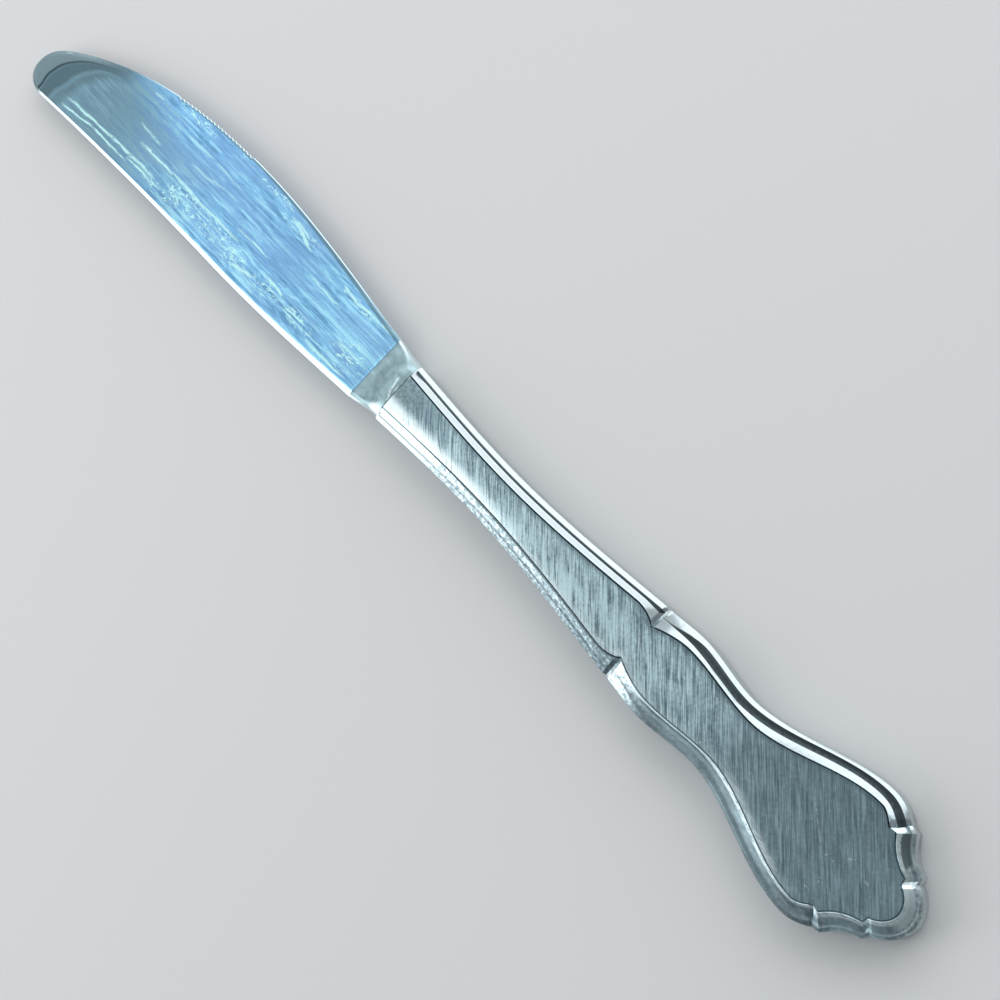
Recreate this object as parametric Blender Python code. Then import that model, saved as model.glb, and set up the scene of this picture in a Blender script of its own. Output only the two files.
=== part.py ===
"""Dinner knife with a hollow, brushed and moulded handle, as the pieces it is made of.

The knife lies flat. X runs from the butt to the tip, Y from the cutting edge to the spine and Z up.
Inside this script X is 0 at the mouth of the handle, where blade and handle meet, and Z is 0 on the
parting plane between the two half shells. An empty carries every piece to its resting place.
"""
import math

import bmesh
import bpy
from mathutils import Vector

# Handle in plan, metres. AT is measured from the mouth, BACK from the butt, WIDTH is the full width.
HANDLE_LENGTH = 0.1211
MOUTH_WIDTH = 0.0117
NECK_AT = 0.0251
NECK_WIDTH = 0.0097
NOTCH_BACK = 0.0599
NOTCH_WIDTH = 0.0147
NOTCH_BITE = 0.00026
BUMP_BACK = 0.0522
BUMP_WIDTH = 0.01595
WAIST_BACK = 0.0405
WAIST_WIDTH = 0.01355
SHOULDER_BACK = 0.0156
SHOULDER_WIDTH = 0.0247

# Butt: a corner notch, a flared scallop and a rounded end lobe on each side.
CORNER_BACK = 0.01055
CORNER_WIDTH = 0.0210
FLARE_BACK = 0.00915
FLARE_WIDTH = 0.0204
POINT_BACK = 0.0043
POINT_WIDTH = 0.0126
LOBE_BACK = 0.0039
LOBE_WIDTH = 0.01035
SCALLOP_SAG = 0.0006

# Moulded rim round the panel: its width along the handle and how far it reaches in at the butt.
UPPER_RIM = 0.0023
CUSP = 0.00145
CUSP_RUN = 0.0045
BUMP_RIM = 0.0028
WAIST_RIM = 0.00275
WAIST_RIM_SHIFT = 0.0019
SHOULDER_RIM = 0.00272
CORNER_RIM = (0.00195, 0.0025)
FLARE_RIM = (0.00215, 0.00205)
POINT_RIM = (0.0016, 0.0019)
LOBE_RIM = (0.0017, 0.00195)
APEX_RIM = 0.0030

# Bands across the rim, from the outline inwards.
OUTER_BAND = 0.00072
BUTT_OUTER_BAND = 0.0005
GROOVE = 0.00045
CHANNEL = 0.0013
BUTT_CHANNEL = 0.0006
LINE = 0.00022
LINE_LIP = 0.00012

# Heights of the handle.
HANDLE_THICKNESS = 0.0064
PANEL_CROWN = 0.00035
CHANNEL_DEPTH = 0.0005
OUTER_STEP = 0.0005
LINE_DEPTH = 0.0002
RIDGE_BELOW_PANEL = 0.00005
NOTCH_DEPTH = 0.00045
NOTCH_RUN = 0.0008

# Walls, films and clearances.
SHELL_WALL = 0.0008
SEAM_FILM = 0.0002
SOLDER_FILM = 0.0002
CORE_CLEARANCE = 0.0003
SOCKET_CLEARANCE = 0.0003
TANG_SIDE_COVER = 0.0012
TANG_FACE_COVER = 0.0007
WELD = 0.00001

# Blade. ACROSS is measured from the knife's centre line, to the spine or to the edge.
BLADE_LENGTH = 0.1083
BOLSTER_LENGTH = 0.0074
BOLSTER_INSET = 0.00012
HEEL_SPINE_ACROSS = 0.0068
MID_AT = 0.0464
MID_SPINE_ACROSS = 0.00872
HEEL_EDGE_ACROSS = 0.0065
BELLY_AT = 0.0529
BELLY_EDGE_ACROSS = 0.0105
NOSE_RUN = 0.0059
NOSE_ACROSS = 0.0062
NOSE_SPINE_ACROSS = 0.0103
NOSE_EDGE_ACROSS = 0.00055
SPINE_THICKNESS = 0.0024
NOSE_THICKNESS = 0.0016
EDGE_THICKNESS = 0.0004
HEEL_EDGE_THICKNESS = 0.0014
HEEL_RUN = 0.0180
SPINE_ROUND = 0.0010
EDGE_ROUND = 0.0003
NOSE_ROUND = 0.0035
TOOTH_PITCH = 0.00108
TOOTH_DEPTH = 0.00028
TOOTH_COUNT = 20
TEETH_AT = 0.0554
TANG_LENGTH = 0.0580
TANG_POINT = 0.0060
TANG_KEY_AT = 0.0300
TANG_KEY_RADIUS = 0.0010

# How finely each stretch of the outline is cut.
UPPER_STEPS = 16
LOWER_STEPS = 22
FLANK_STEPS = 2
SCALLOP_STEPS = 6
LOBE_STEPS = 8
BLADE_STEPS = 14
NOSE_STEPS = 9
PANEL_COLUMNS = 4
KEY_SIDES = 16
BOLSTER_STEPS = 6
SECTION_STEPS = 14
STOP_SPACE = 0.3
SMOOTH_ANGLE = math.radians(30)

# Places that follow from the sizes above.
HALF_THICKNESS = HANDLE_THICKNESS / 2
NOTCH_AT = HANDLE_LENGTH - NOTCH_BACK
BUMP_AT = HANDLE_LENGTH - BUMP_BACK
WAIST_AT = HANDLE_LENGTH - WAIST_BACK
SHOULDER_AT = HANDLE_LENGTH - SHOULDER_BACK
CORNER_AT = HANDLE_LENGTH - CORNER_BACK
PANEL_CORNER_AT = CORNER_AT - CORNER_RIM[0]
CORE_INSET = SHELL_WALL + CORE_CLEARANCE
TANG_HALF_WIDTH = NECK_WIDTH / 2 - CORE_INSET - TANG_SIDE_COVER - SOCKET_CLEARANCE
TANG_HALF_THICKNESS = HALF_THICKNESS - CORE_INSET - TANG_FACE_COVER - SOCKET_CLEARANCE
TANG_ROOT = BOLSTER_LENGTH / 3
NOSE_AT = BLADE_LENGTH - NOSE_RUN

# Slopes of the outline at its stations, as rise over run.
MOUTH_SLOPE = -0.06
NOTCH_SLOPE_ABOVE = 0.10
NOTCH_SLOPE_BELOW = 0.02
CUSP_SLOPE = 0.42
CORNER_SLOPE = -0.75
HEEL_SPINE_SLOPE = 0.07
MID_SPINE_SLOPE = 0.004
NOSE_SPINE_SLOPE = 0.055
HEEL_EDGE_SLOPE = 0.11
NOSE_EDGE_SLOPE = -0.50

# Shape factors: shares of the stretch they belong to.
LOBE_FULLNESS = (0.68, 0.96, 0.54)
NOSE_LEAD = 0.5
NOSE_SPINE_FULLNESS = 0.62
NOSE_EDGE_FULLNESS = 0.50
MOUTH_ROUNDNESS = 3.4
BAND_SHOULDER = (0.45, 0.62)
RIDGE_SHOULDER = (0.45, 0.55)
CHANNEL_HOLLOW = 0.05
CLOSED_GROOVE = 0.1
CUSP_WEDGE = 0.6
CHANNEL_OPENING = 0.55
SIDE_VALLEY = 0.5
INNER_KNEE = 0.4
INNER_WALL = 0.55
GRIND_STEP = 0.14
GRIND_STEP_RUN = 0.06
SWELL_RUN = 0.9


def smoothstep(t):
    """Ease from 0 to 1, flat at both ends."""
    t = min(max(t, 0.0), 1.0)
    return t * t * (3 - 2 * t)


def blend(a, b, t):
    """Straight mix of two numbers."""
    return a + (b - a) * t


def hermite(start, end, at):
    """Cubic through two (place, value, slope) knots."""
    run = end[0] - start[0]
    t = (at - start[0]) / run
    lead = (t ** 3 - 2 * t ** 2 + t) * run * start[2]
    tail = (t ** 3 - t ** 2) * run * end[2]
    return blend(start[1], end[1], smoothstep(t)) + lead + tail


def through(knots, at):
    """Value of a smooth curve through several (place, value, slope) knots."""
    for start, end in zip(knots, knots[1:]):
        if at <= end[0]:
            return hermite(start, end, at)
    return knots[-1][1]


def bezier(points, t):
    """Point on a cubic Bezier curve in the plan."""
    a, b, c, d = points
    u = 1 - t
    return a * u ** 3 + b * 3 * u * u * t + c * 3 * u * t * t + d * t ** 3


def sagged(start, end, sag, t):
    """Point on a shallow arc from start to end that sags to the left of its direction."""
    chord = end - start
    side = Vector((-chord.y, chord.x)).normalized()
    return start + chord * t + side * sag * 4 * t * (1 - t)


def rounded(distance, radius):
    """Height share of a quarter round that starts at the outline."""
    t = min(distance / radius, 1.0)
    return math.sqrt(max(1 - (1 - t) ** 2, 0.0))


def notch_valley(at, notch_at):
    """Depth share of a V cut across the rim, by the distance to it."""
    return max(1 - abs(at - notch_at) / NOTCH_RUN, 0.0)


def outline_half(at):
    """Half width of the handle's outline, mouth to corner notch."""
    upper = [
        (0.0, MOUTH_WIDTH / 2, MOUTH_SLOPE),
        (NECK_AT, NECK_WIDTH / 2, 0.0),
        (NOTCH_AT, NOTCH_WIDTH / 2, NOTCH_SLOPE_ABOVE),
    ]
    lower = [
        (NOTCH_AT, NOTCH_WIDTH / 2, NOTCH_SLOPE_BELOW),
        (BUMP_AT, BUMP_WIDTH / 2, 0.0),
        (WAIST_AT, WAIST_WIDTH / 2, 0.0),
        (SHOULDER_AT, SHOULDER_WIDTH / 2, 0.0),
        (CORNER_AT, CORNER_WIDTH / 2, CORNER_SLOPE),
    ]
    return through(upper if at <= NOTCH_AT else lower, at) - NOTCH_BITE * notch_valley(at, NOTCH_AT)


def cusp_reach(at):
    """How far the cusp above the middle notch reaches into the panel."""
    into_cusp = max(at - (NOTCH_AT - CUSP_RUN), 0.0) / CUSP_RUN
    return CUSP * into_cusp ** 2


def panel_half(at):
    """Half width of the panel, mouth to corner, with the cusp that reaches in at the middle notch."""
    if at <= NOTCH_AT:
        return outline_half(at) - UPPER_RIM - cusp_reach(at)
    knots = [
        (NOTCH_AT, panel_half(NOTCH_AT), CUSP_SLOPE),
        (BUMP_AT, BUMP_WIDTH / 2 - BUMP_RIM, 0.0),
        (WAIST_AT + WAIST_RIM_SHIFT, WAIST_WIDTH / 2 - WAIST_RIM, 0.0),
        (SHOULDER_AT, SHOULDER_WIDTH / 2 - SHOULDER_RIM, 0.0),
        (PANEL_CORNER_AT, CORNER_WIDTH / 2 - CORNER_RIM[1], CORNER_SLOPE),
    ]
    return through(knots, at)


class Station:
    """One place along the rim: a point on the outline, one on the panel's edge, and its band widths."""

    def __init__(self, outline, panel, valley, outer, channel):
        self.outline = outline
        self.panel = panel
        self.valley = valley
        self.width = (panel - outline).length
        self.line = LINE / self.width
        self.outer = outer / self.width
        self.crest = 1 - 2 * self.line
        self.foot = min(self.outer + channel / self.width, self.crest - self.line)

    def mirrored(self):
        """The same place on the other side of the centre line."""
        other = Station.__new__(Station)
        other.__dict__.update(self.__dict__)
        other.outline = Vector((self.outline.x, -self.outline.y))
        other.panel = Vector((self.panel.x, -self.panel.y))
        return other

    def across(self, share):
        """Plan point at a share of the way from the outline to the panel's edge."""
        return self.outline.lerp(self.panel, share)

    def panel_edge_height(self):
        """Height of the panel along its edge: the panel is crowned near the mouth."""
        return HALF_THICKNESS - PANEL_CROWN * (1 - smoothstep(-self.panel.x / NOTCH_AT))

    def profile(self):
        """Outer surface of the rim as (share, height) from the parting film to the panel's edge."""
        top = self.panel_edge_height()
        ridge = top - RIDGE_BELOW_PANEL
        low = top - CHANNEL_DEPTH
        edge = low - OUTER_STEP
        dip = NOTCH_DEPTH * self.valley
        hollow = (self.foot - self.outer) * self.width * CHANNEL_HOLLOW
        return [
            (0.0, SEAM_FILM / 2),
            (0.0, edge - dip * SIDE_VALLEY),
            (self.outer * BAND_SHOULDER[0], blend(edge, low, BAND_SHOULDER[1]) - dip),
            (self.outer, low - dip),
            ((self.outer + self.foot) / 2, low - dip - hollow),
            (self.foot, low - dip),
            (blend(self.foot, self.crest, RIDGE_SHOULDER[0]), blend(low, ridge, RIDGE_SHOULDER[1]) - dip),
            (self.crest, ridge - dip),
            (1 - self.line, ridge - dip),
            (1.0, top - LINE_DEPTH - dip * SIDE_VALLEY),
        ]

    def lipped(self):
        """Rim profile with the lip of the panel added beyond its fine line."""
        return self.profile() + [(1 + LINE_LIP / self.width, self.panel_edge_height())]

    def height(self, share):
        """Height of the rim's outer surface at a share of its width."""
        points = self.profile()[1:]
        for (s0, z0), (s1, z1) in zip(points, points[1:]):
            if s0 <= share <= s1 and s1 > s0:
                return blend(z0, z1, (share - s0) / (s1 - s0))
        return points[-1][1]

    def inner_profile(self, inset, floor):
        """Surface that lies an inset inside the rim, as (share, height) from the parting plane up."""
        start = inset / self.width
        knee = max(self.foot, blend(start, 1.0, INNER_KNEE))
        wall_top = max((self.height(start) - inset) * INNER_WALL, floor * 2)
        return [
            (start, floor),
            (start, wall_top),
            (knee, max(self.height(knee) - inset, wall_top)),
            (1.0, max(self.height(1.0) - inset, wall_top)),
        ]


def channel_width(at):
    """Width of the channel in the rim: a fine groove above the notch, a wide cove below it."""
    if at <= NOTCH_AT:
        opening = smoothstep(at / NOTCH_RUN) * smoothstep((NOTCH_AT - at) / NOTCH_RUN)
        return blend(GROOVE * CLOSED_GROOVE, GROOVE + CUSP_WEDGE * cusp_reach(at), opening)
    opening = smoothstep((at - NOTCH_AT) / (CHANNEL_OPENING * (BUMP_AT - NOTCH_AT)))
    return GROOVE * CLOSED_GROOVE + CHANNEL * opening


def plan(at, half):
    """Plan point at a distance from the mouth, on the spine's side."""
    return Vector((-at, half))


def butt_points():
    """Outline and panel points of the butt, from the corner notch to the lobe's root."""
    sizes = [
        (CORNER_BACK, CORNER_WIDTH, CORNER_RIM),
        (FLARE_BACK, FLARE_WIDTH, FLARE_RIM),
        (POINT_BACK, POINT_WIDTH, POINT_RIM),
        (LOBE_BACK, LOBE_WIDTH, LOBE_RIM),
    ]
    for back, width, rim in sizes:
        at = HANDLE_LENGTH - back
        yield plan(at, width / 2), plan(at - rim[0], width / 2 - rim[1])


def lobe_curve(root, apex):
    """Control points of half the end lobe, from its root to the apex on the centre line."""
    out = root - apex
    first = apex + Vector((out.x * LOBE_FULLNESS[0], out.y * LOBE_FULLNESS[1]))
    second = apex + Vector((0.0, out.y * LOBE_FULLNESS[2]))
    return root, first, second, apex


def places_with_stops(start, end, count, stops):
    """Evenly spread places between start and end, with the given stops added."""
    near = (end - start) / count * STOP_SPACE
    places = [blend(start, end, i / count) for i in range(count + 1)]
    kept = [place for place in places[1:-1] if all(abs(place - stop) > near for stop in stops)]
    return sorted([start] + kept + stops + [end])


def side_station(at, panel_at):
    """Station on the handle's long side, with the valleys of the middle and corner notches."""
    valley = max(notch_valley(at, NOTCH_AT), notch_valley(at, CORNER_AT))
    outline = plan(at, outline_half(at))
    panel = plan(panel_at, panel_half(panel_at))
    return Station(outline, panel, valley, OUTER_BAND, channel_width(at))


def butt_station(outline, panel, valley):
    """Station on the butt, where the rim's bands are narrower."""
    return Station(outline, panel, valley, BUTT_OUTER_BAND, BUTT_CHANNEL)


def half_stations(start):
    """Stations along the spine's side of the handle, from the mouth to the apex of the butt."""
    upper = places_with_stops(start, NOTCH_AT, UPPER_STEPS, [NOTCH_AT - NOTCH_RUN])
    stations = [side_station(at, at) for at in upper]
    stops = [NOTCH_AT + NOTCH_RUN, CORNER_AT - NOTCH_RUN]
    panel_run = (PANEL_CORNER_AT - NOTCH_AT) / (CORNER_AT - NOTCH_AT)
    for at in places_with_stops(NOTCH_AT, CORNER_AT, LOWER_STEPS, stops)[1:]:
        stations.append(side_station(at, NOTCH_AT + (at - NOTCH_AT) * panel_run))

    corner, flare, point, root = butt_points()
    for i in range(1, FLANK_STEPS + 1):
        t = i / FLANK_STEPS
        stations.append(butt_station(corner[0].lerp(flare[0], t), corner[1].lerp(flare[1], t), 1 - t))
    for i in range(1, SCALLOP_STEPS + 1):
        t = i / SCALLOP_STEPS
        outline = sagged(flare[0], point[0], SCALLOP_SAG, t)
        panel = sagged(flare[1], point[1], SCALLOP_SAG, t)
        stations.append(butt_station(outline, panel, SIDE_VALLEY if i == SCALLOP_STEPS else 0.0))
    stations.append(butt_station(point[0].lerp(root[0], 0.5), point[1].lerp(root[1], 0.5), 1.0))
    apex = plan(HANDLE_LENGTH, 0.0)
    panel_apex = plan(HANDLE_LENGTH - APEX_RIM, 0.0)
    for i in range(LOBE_STEPS + 1):
        t = i / LOBE_STEPS
        outline = bezier(lobe_curve(root[0], apex), t)
        panel = bezier(lobe_curve(root[1], panel_apex), t)
        stations.append(butt_station(outline, panel, SIDE_VALLEY if i == 0 else 0.0))
    return stations


def whole_rim(start):
    """Stations round the whole handle, mouth to mouth, with the apex once in the middle."""
    half = half_stations(start)
    return half + [station.mirrored() for station in reversed(half[:-1])]


def mesh_object(name, bm, material, parent):
    """Close a bmesh into a named, smooth-shaded object under the carrier."""
    bmesh.ops.recalc_face_normals(bm, faces=bm.faces)
    mesh = bpy.data.meshes.new(name)
    bm.to_mesh(mesh)
    bm.free()
    mesh.shade_smooth()
    mesh.set_sharp_from_angle(angle=SMOOTH_ANGLE)
    mesh.materials.append(material)
    obj = bpy.data.objects.new(name, mesh)
    obj.parent = parent
    bpy.context.scene.collection.objects.link(obj)
    return obj


def helper(obj):
    """Mark an object that only cuts or joins another one."""
    obj.hide_render = True
    obj.display_type = "WIRE"
    return obj


def combine(obj, other, operation):
    """Add a Boolean modifier that uses a helper."""
    modifier = obj.modifiers.new(other.name, "BOOLEAN")
    modifier.operation = operation
    modifier.solver = "EXACT"
    modifier.object = other


def extruded(bm, points, depth):
    """Closed solid from a flat outline pushed along a vector."""
    face = bm.faces.new([bm.verts.new(point) for point in points])
    grown = bmesh.ops.extrude_face_region(bm, geom=[face])
    moved = [item for item in grown["geom"] if isinstance(item, bmesh.types.BMVert)]
    bmesh.ops.translate(bm, verts=moved, vec=depth)


def strip(bm, first, second):
    """Quads between two rows of vertices of the same length."""
    for a0, a1, b0, b1 in zip(first, first[1:], second, second[1:]):
        corners = []
        for vert in (a0, a1, b1, b0):
            if vert not in corners:
                corners.append(vert)
        if len(corners) > 2:
            bm.faces.new(corners)


def panel_height(place, inset):
    """Height of the panel, or of a surface an inset below it, at a plan point: crowned near the mouth."""
    crown = PANEL_CROWN * (1 - smoothstep(-place.x / NOTCH_AT))
    half = panel_half(-place.x)
    return HALF_THICKNESS - inset - crown * min(abs(place.y) / half, 1.0) ** 2


def panel_rows(bm, edges, inset, sign):
    """Rows of panel vertices from the spine's side to the edge's side, down to the apex vertex."""
    middle = len(edges) // 2
    rows = []
    for left, right in zip(edges[:middle], reversed(edges)):
        row = [left]
        for column in range(1, PANEL_COLUMNS):
            place = left.co.lerp(right.co, column / PANEL_COLUMNS)
            place.z = sign * panel_height(place, inset)
            row.append(bm.verts.new(place))
        rows.append(row + [right])
    rows.append([edges[middle]] * (PANEL_COLUMNS + 1))
    return rows


def skin(bm, rim, sections, inset, sign):
    """Half of a handle-shaped surface: rim sections and the panel between them, above or below."""
    grid = []
    for station, section in zip(rim, sections):
        column = []
        for share, z in section:
            point = station.across(share)
            column.append(bm.verts.new((point.x, point.y, sign * z)))
        grid.append(column)
    rows = panel_rows(bm, [column[-1] for column in grid], inset, sign)
    for lines in (grid, rows):
        for first, second in zip(lines, lines[1:]):
            strip(bm, first, second)
    return grid, rows


def mouth_edge(grid, rows):
    """Vertices of a skin's open end at the mouth, from the spine's side over to the edge's side."""
    return grid[0][:-1] + rows[0] + grid[-1][-2::-1]


def half_shell(name, sign, material, parent):
    """A pressed half of the handle: moulded outside, plain inside, open at the mouth and the seam."""
    bm = bmesh.new()
    rim = whole_rim(SOLDER_FILM)
    outer, outer_rows = skin(bm, rim, [station.lipped() for station in rim], 0.0, sign)
    inner_sections = [station.inner_profile(SHELL_WALL, SEAM_FILM / 2) for station in rim]
    inner, inner_rows = skin(bm, rim, inner_sections, SHELL_WALL, sign)
    strip(bm, [column[0] for column in outer], [column[0] for column in inner])
    bm.faces.new(mouth_edge(outer, outer_rows) + mouth_edge(inner, inner_rows)[::-1])
    return mesh_object(name, bm, material, parent)


def seam_braze(name, material, parent):
    """Film of braze that joins the half shells along the parting plane, round the butt."""
    bm = bmesh.new()
    rim = whole_rim(SOLDER_FILM)
    loops = []
    for inset, z in ((0.0, 1), (SHELL_WALL, 1), (SHELL_WALL, -1), (0.0, -1)):
        places = [station.across(inset / station.width) for station in rim]
        loops.append([bm.verts.new((p.x, p.y, z * SEAM_FILM / 2)) for p in places])
    for first, second in zip(loops, loops[1:] + loops[:1]):
        strip(bm, first, second)
    for end in (0, -1):
        bm.faces.new([loop[end] for loop in loops])
    return mesh_object(name, bm, material, parent)


def mouth_section():
    """Points of the handle's section at the mouth, all the way round, as (y, z)."""
    station = half_stations(SOLDER_FILM)[0]
    points = [(station.across(share).y, z) for share, z in station.lipped()[1:]]
    upper = points + [(-y, z) for y, z in reversed(points)]
    return upper + [(y, -z) for y, z in reversed(upper)]


def solder_ring(name, material, parent):
    """Film of solder between the bolster and the handle's mouth, with the tang's hole through it."""
    bm = bmesh.new()
    extruded(bm, [(0.0, y, z) for y, z in mouth_section()], (-SOLDER_FILM, 0.0, 0.0))
    ring = mesh_object(name, bm, material, parent)
    hole = tang_solid("solder_hole", SOCKET_CLEARANCE, SOLDER_FILM, material, parent)
    combine(ring, hole, "DIFFERENCE")
    return ring


def handle_core(name, material, parent):
    """Cast filler that fills the handle and holds the tang in a blind socket."""
    bm = bmesh.new()
    rim = whole_rim(SOLDER_FILM + CORE_CLEARANCE)
    sections = [station.inner_profile(CORE_INSET, 0.0) for station in rim]
    upper = mouth_edge(*skin(bm, rim, sections, CORE_INSET, 1))
    lower = mouth_edge(*skin(bm, rim, sections, CORE_INSET, -1))
    bm.faces.new(upper + lower[-2:0:-1])
    bmesh.ops.remove_doubles(bm, verts=bm.verts, dist=WELD)
    core = mesh_object(name, bm, material, parent)
    socket = tang_solid("tang_socket", SOCKET_CLEARANCE, SOLDER_FILM, material, parent)
    combine(core, socket, "DIFFERENCE")
    return core


def tang_solid(name, clearance, root, material, parent):
    """The tang's flat bar with a pointed end, grown by a clearance, as a hidden helper."""
    half = TANG_HALF_WIDTH + clearance
    depth = TANG_HALF_THICKNESS + clearance
    tip = -TANG_LENGTH - clearance
    side = [(root, half), (tip + TANG_POINT, half), (tip, half / 2)]
    outline = side + [(x, -y) for x, y in reversed(side)]
    bm = bmesh.new()
    extruded(bm, [(x, y, -depth) for x, y in outline], (0.0, 0.0, 2 * depth))
    return helper(mesh_object(name, bm, material, parent))


def key_notch(name, side, material, parent):
    """Round notch in the tang's side that keys it into the filler."""
    bm = bmesh.new()
    bmesh.ops.create_cone(
        bm,
        cap_ends=True,
        segments=KEY_SIDES,
        radius1=TANG_KEY_RADIUS,
        radius2=TANG_KEY_RADIUS,
        depth=HANDLE_THICKNESS,
    )
    bmesh.ops.translate(bm, verts=bm.verts, vec=(-TANG_KEY_AT, side * TANG_HALF_WIDTH, 0.0))
    return helper(mesh_object(name, bm, material, parent))


def spine_across(at):
    """Distance of the blade's spine from the centre line."""
    knots = [
        (0.0, MOUTH_WIDTH / 2 - BOLSTER_INSET, 0.0),
        (BOLSTER_LENGTH, HEEL_SPINE_ACROSS, HEEL_SPINE_SLOPE),
        (MID_AT, MID_SPINE_ACROSS, MID_SPINE_SLOPE),
        (NOSE_AT, NOSE_SPINE_ACROSS, NOSE_SPINE_SLOPE),
    ]
    return through(knots, at)


def edge_across(at):
    """Distance of the cutting edge from the centre line, without its teeth."""
    knots = [
        (0.0, MOUTH_WIDTH / 2 - BOLSTER_INSET, 0.0),
        (BOLSTER_LENGTH, HEEL_EDGE_ACROSS, HEEL_EDGE_SLOPE),
        (BELLY_AT, BELLY_EDGE_ACROSS, 0.0),
        (NOSE_AT, NOSE_EDGE_ACROSS, NOSE_EDGE_SLOPE),
    ]
    return through(knots, at)


def nose_curve(start, nose, slope, fullness):
    """Control points of one side of the rounded nose."""
    lead = NOSE_RUN * NOSE_LEAD
    first = start + Vector((lead, lead * slope))
    second = Vector((nose.x, blend(nose.y, start.y, fullness)))
    return start, first, second, nose


def section_shares():
    """Shares of the way from spine to edge, closest together at the two rounded sides."""
    return [(1 - math.cos(math.pi * i / SECTION_STEPS)) / 2 for i in range(1, SECTION_STEPS)]


def blade_lines():
    """Lines across the blade as (spine point, edge point), from the handle's mouth to the nose."""
    swell = BOLSTER_LENGTH * (1 - GRIND_STEP_RUN)
    places = [swell * i / BOLSTER_STEPS for i in range(BOLSTER_STEPS + 1)] + [BOLSTER_LENGTH]
    teeth = [TEETH_AT + TOOTH_PITCH * i / 2 for i in range(2 * TOOTH_COUNT + 1)]
    before = [blend(BOLSTER_LENGTH, teeth[0], i / BLADE_STEPS) for i in range(1, BLADE_STEPS)]
    after = [blend(teeth[-1], NOSE_AT, i / BLADE_STEPS) for i in range(1, BLADE_STEPS + 1)]
    for at in places + before + teeth + after:
        depth = TOOTH_DEPTH if at in teeth[1::2] else 0.0
        yield Vector((at, spine_across(at))), Vector((at, depth - edge_across(at)))
    nose = Vector((BLADE_LENGTH, NOSE_ACROSS))
    spine_end = Vector((NOSE_AT, NOSE_SPINE_ACROSS))
    edge_end = Vector((NOSE_AT, -NOSE_EDGE_ACROSS))
    spine_curve = nose_curve(spine_end, nose, NOSE_SPINE_SLOPE, NOSE_SPINE_FULLNESS)
    edge_curve = nose_curve(edge_end, nose, -NOSE_EDGE_SLOPE, NOSE_EDGE_FULLNESS)
    for i in range(1, NOSE_STEPS + 1):
        yield bezier(spine_curve, i / NOSE_STEPS), bezier(edge_curve, i / NOSE_STEPS)


def ground_half_thickness(at, share, width):
    """Half thickness of the ground blade at a share of the way from spine to edge."""
    along = (at - BOLSTER_LENGTH) / (BLADE_LENGTH - BOLSTER_LENGTH)
    spine = blend(SPINE_THICKNESS, NOSE_THICKNESS, along) / 2
    heel = smoothstep((at - BOLSTER_LENGTH) / HEEL_RUN)
    edge = blend(HEEL_EDGE_THICKNESS, EDGE_THICKNESS, heel) / 2
    edge_round = blend(HEEL_EDGE_THICKNESS / 2, EDGE_ROUND, heel)
    ends = rounded(share * width, SPINE_ROUND) * rounded((1 - share) * width, edge_round)
    return blend(spine, edge, share) * ends * rounded(BLADE_LENGTH - at, NOSE_ROUND)


def mouth_half_thickness(share):
    """Half thickness of the bolster where it meets the handle: a rounded oblong section."""
    offset = abs(2 * share - 1)
    return (HALF_THICKNESS - BOLSTER_INSET) * (1 - offset ** MOUTH_ROUNDNESS) ** (1 / MOUTH_ROUNDNESS)


def section_half_thickness(at, share, width):
    """Half thickness anywhere along the blade and its bolster, which swells from a step at the grind."""
    ground = ground_half_thickness(max(at, BOLSTER_LENGTH), share, width)
    into_bolster = 1 - min(at / BOLSTER_LENGTH, 1.0)
    step = GRIND_STEP * smoothstep(into_bolster / GRIND_STEP_RUN)
    swell = (1 - GRIND_STEP) * smoothstep(into_bolster / SWELL_RUN)
    return blend(ground, mouth_half_thickness(share), step + swell)


def blade(name, material, parent):
    """Blade, bolster and tang, forged in one piece and symmetrical about the parting plane."""
    bm = bmesh.new()
    faces = {1: [], -1: []}
    for spine, edge in blade_lines():
        width = (spine - edge).length
        back = bm.verts.new((spine.x, spine.y, 0.0))
        if width < EDGE_ROUND:
            for rows in faces.values():
                rows.append([back] * (SECTION_STEPS + 1))
            continue
        front = bm.verts.new((edge.x, edge.y, 0.0))
        for sign, rows in faces.items():
            line = []
            for share in section_shares():
                point = spine.lerp(edge, share)
                half = section_half_thickness(point.x, share, width)
                line.append(bm.verts.new((point.x, point.y, sign * half)))
            rows.append([back] + line + [front])
    for rows in faces.values():
        for first, second in zip(rows, rows[1:]):
            strip(bm, first, second)
    bm.faces.new(faces[1][0] + faces[-1][0][-2:0:-1])
    forging = mesh_object(name, bm, material, parent)
    bar = tang_solid("tang_bar", 0.0, TANG_ROOT, material, parent)
    for key, side in (("tang_key_spine", 1), ("tang_key_edge", -1)):
        combine(bar, key_notch(key, side, material, parent), "DIFFERENCE")
    combine(forging, bar, "UNION")
    return forging


def metal(name, colour, roughness, metallic):
    """Principled material with a colour, a roughness and a metallic value."""
    material = bpy.data.materials.new(name)
    material.use_nodes = True
    shader = material.node_tree.nodes["Principled BSDF"]
    shader.inputs["Base Color"].default_value = (*colour, 1.0)
    shader.inputs["Roughness"].default_value = roughness
    shader.inputs["Metallic"].default_value = metallic
    return material


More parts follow.
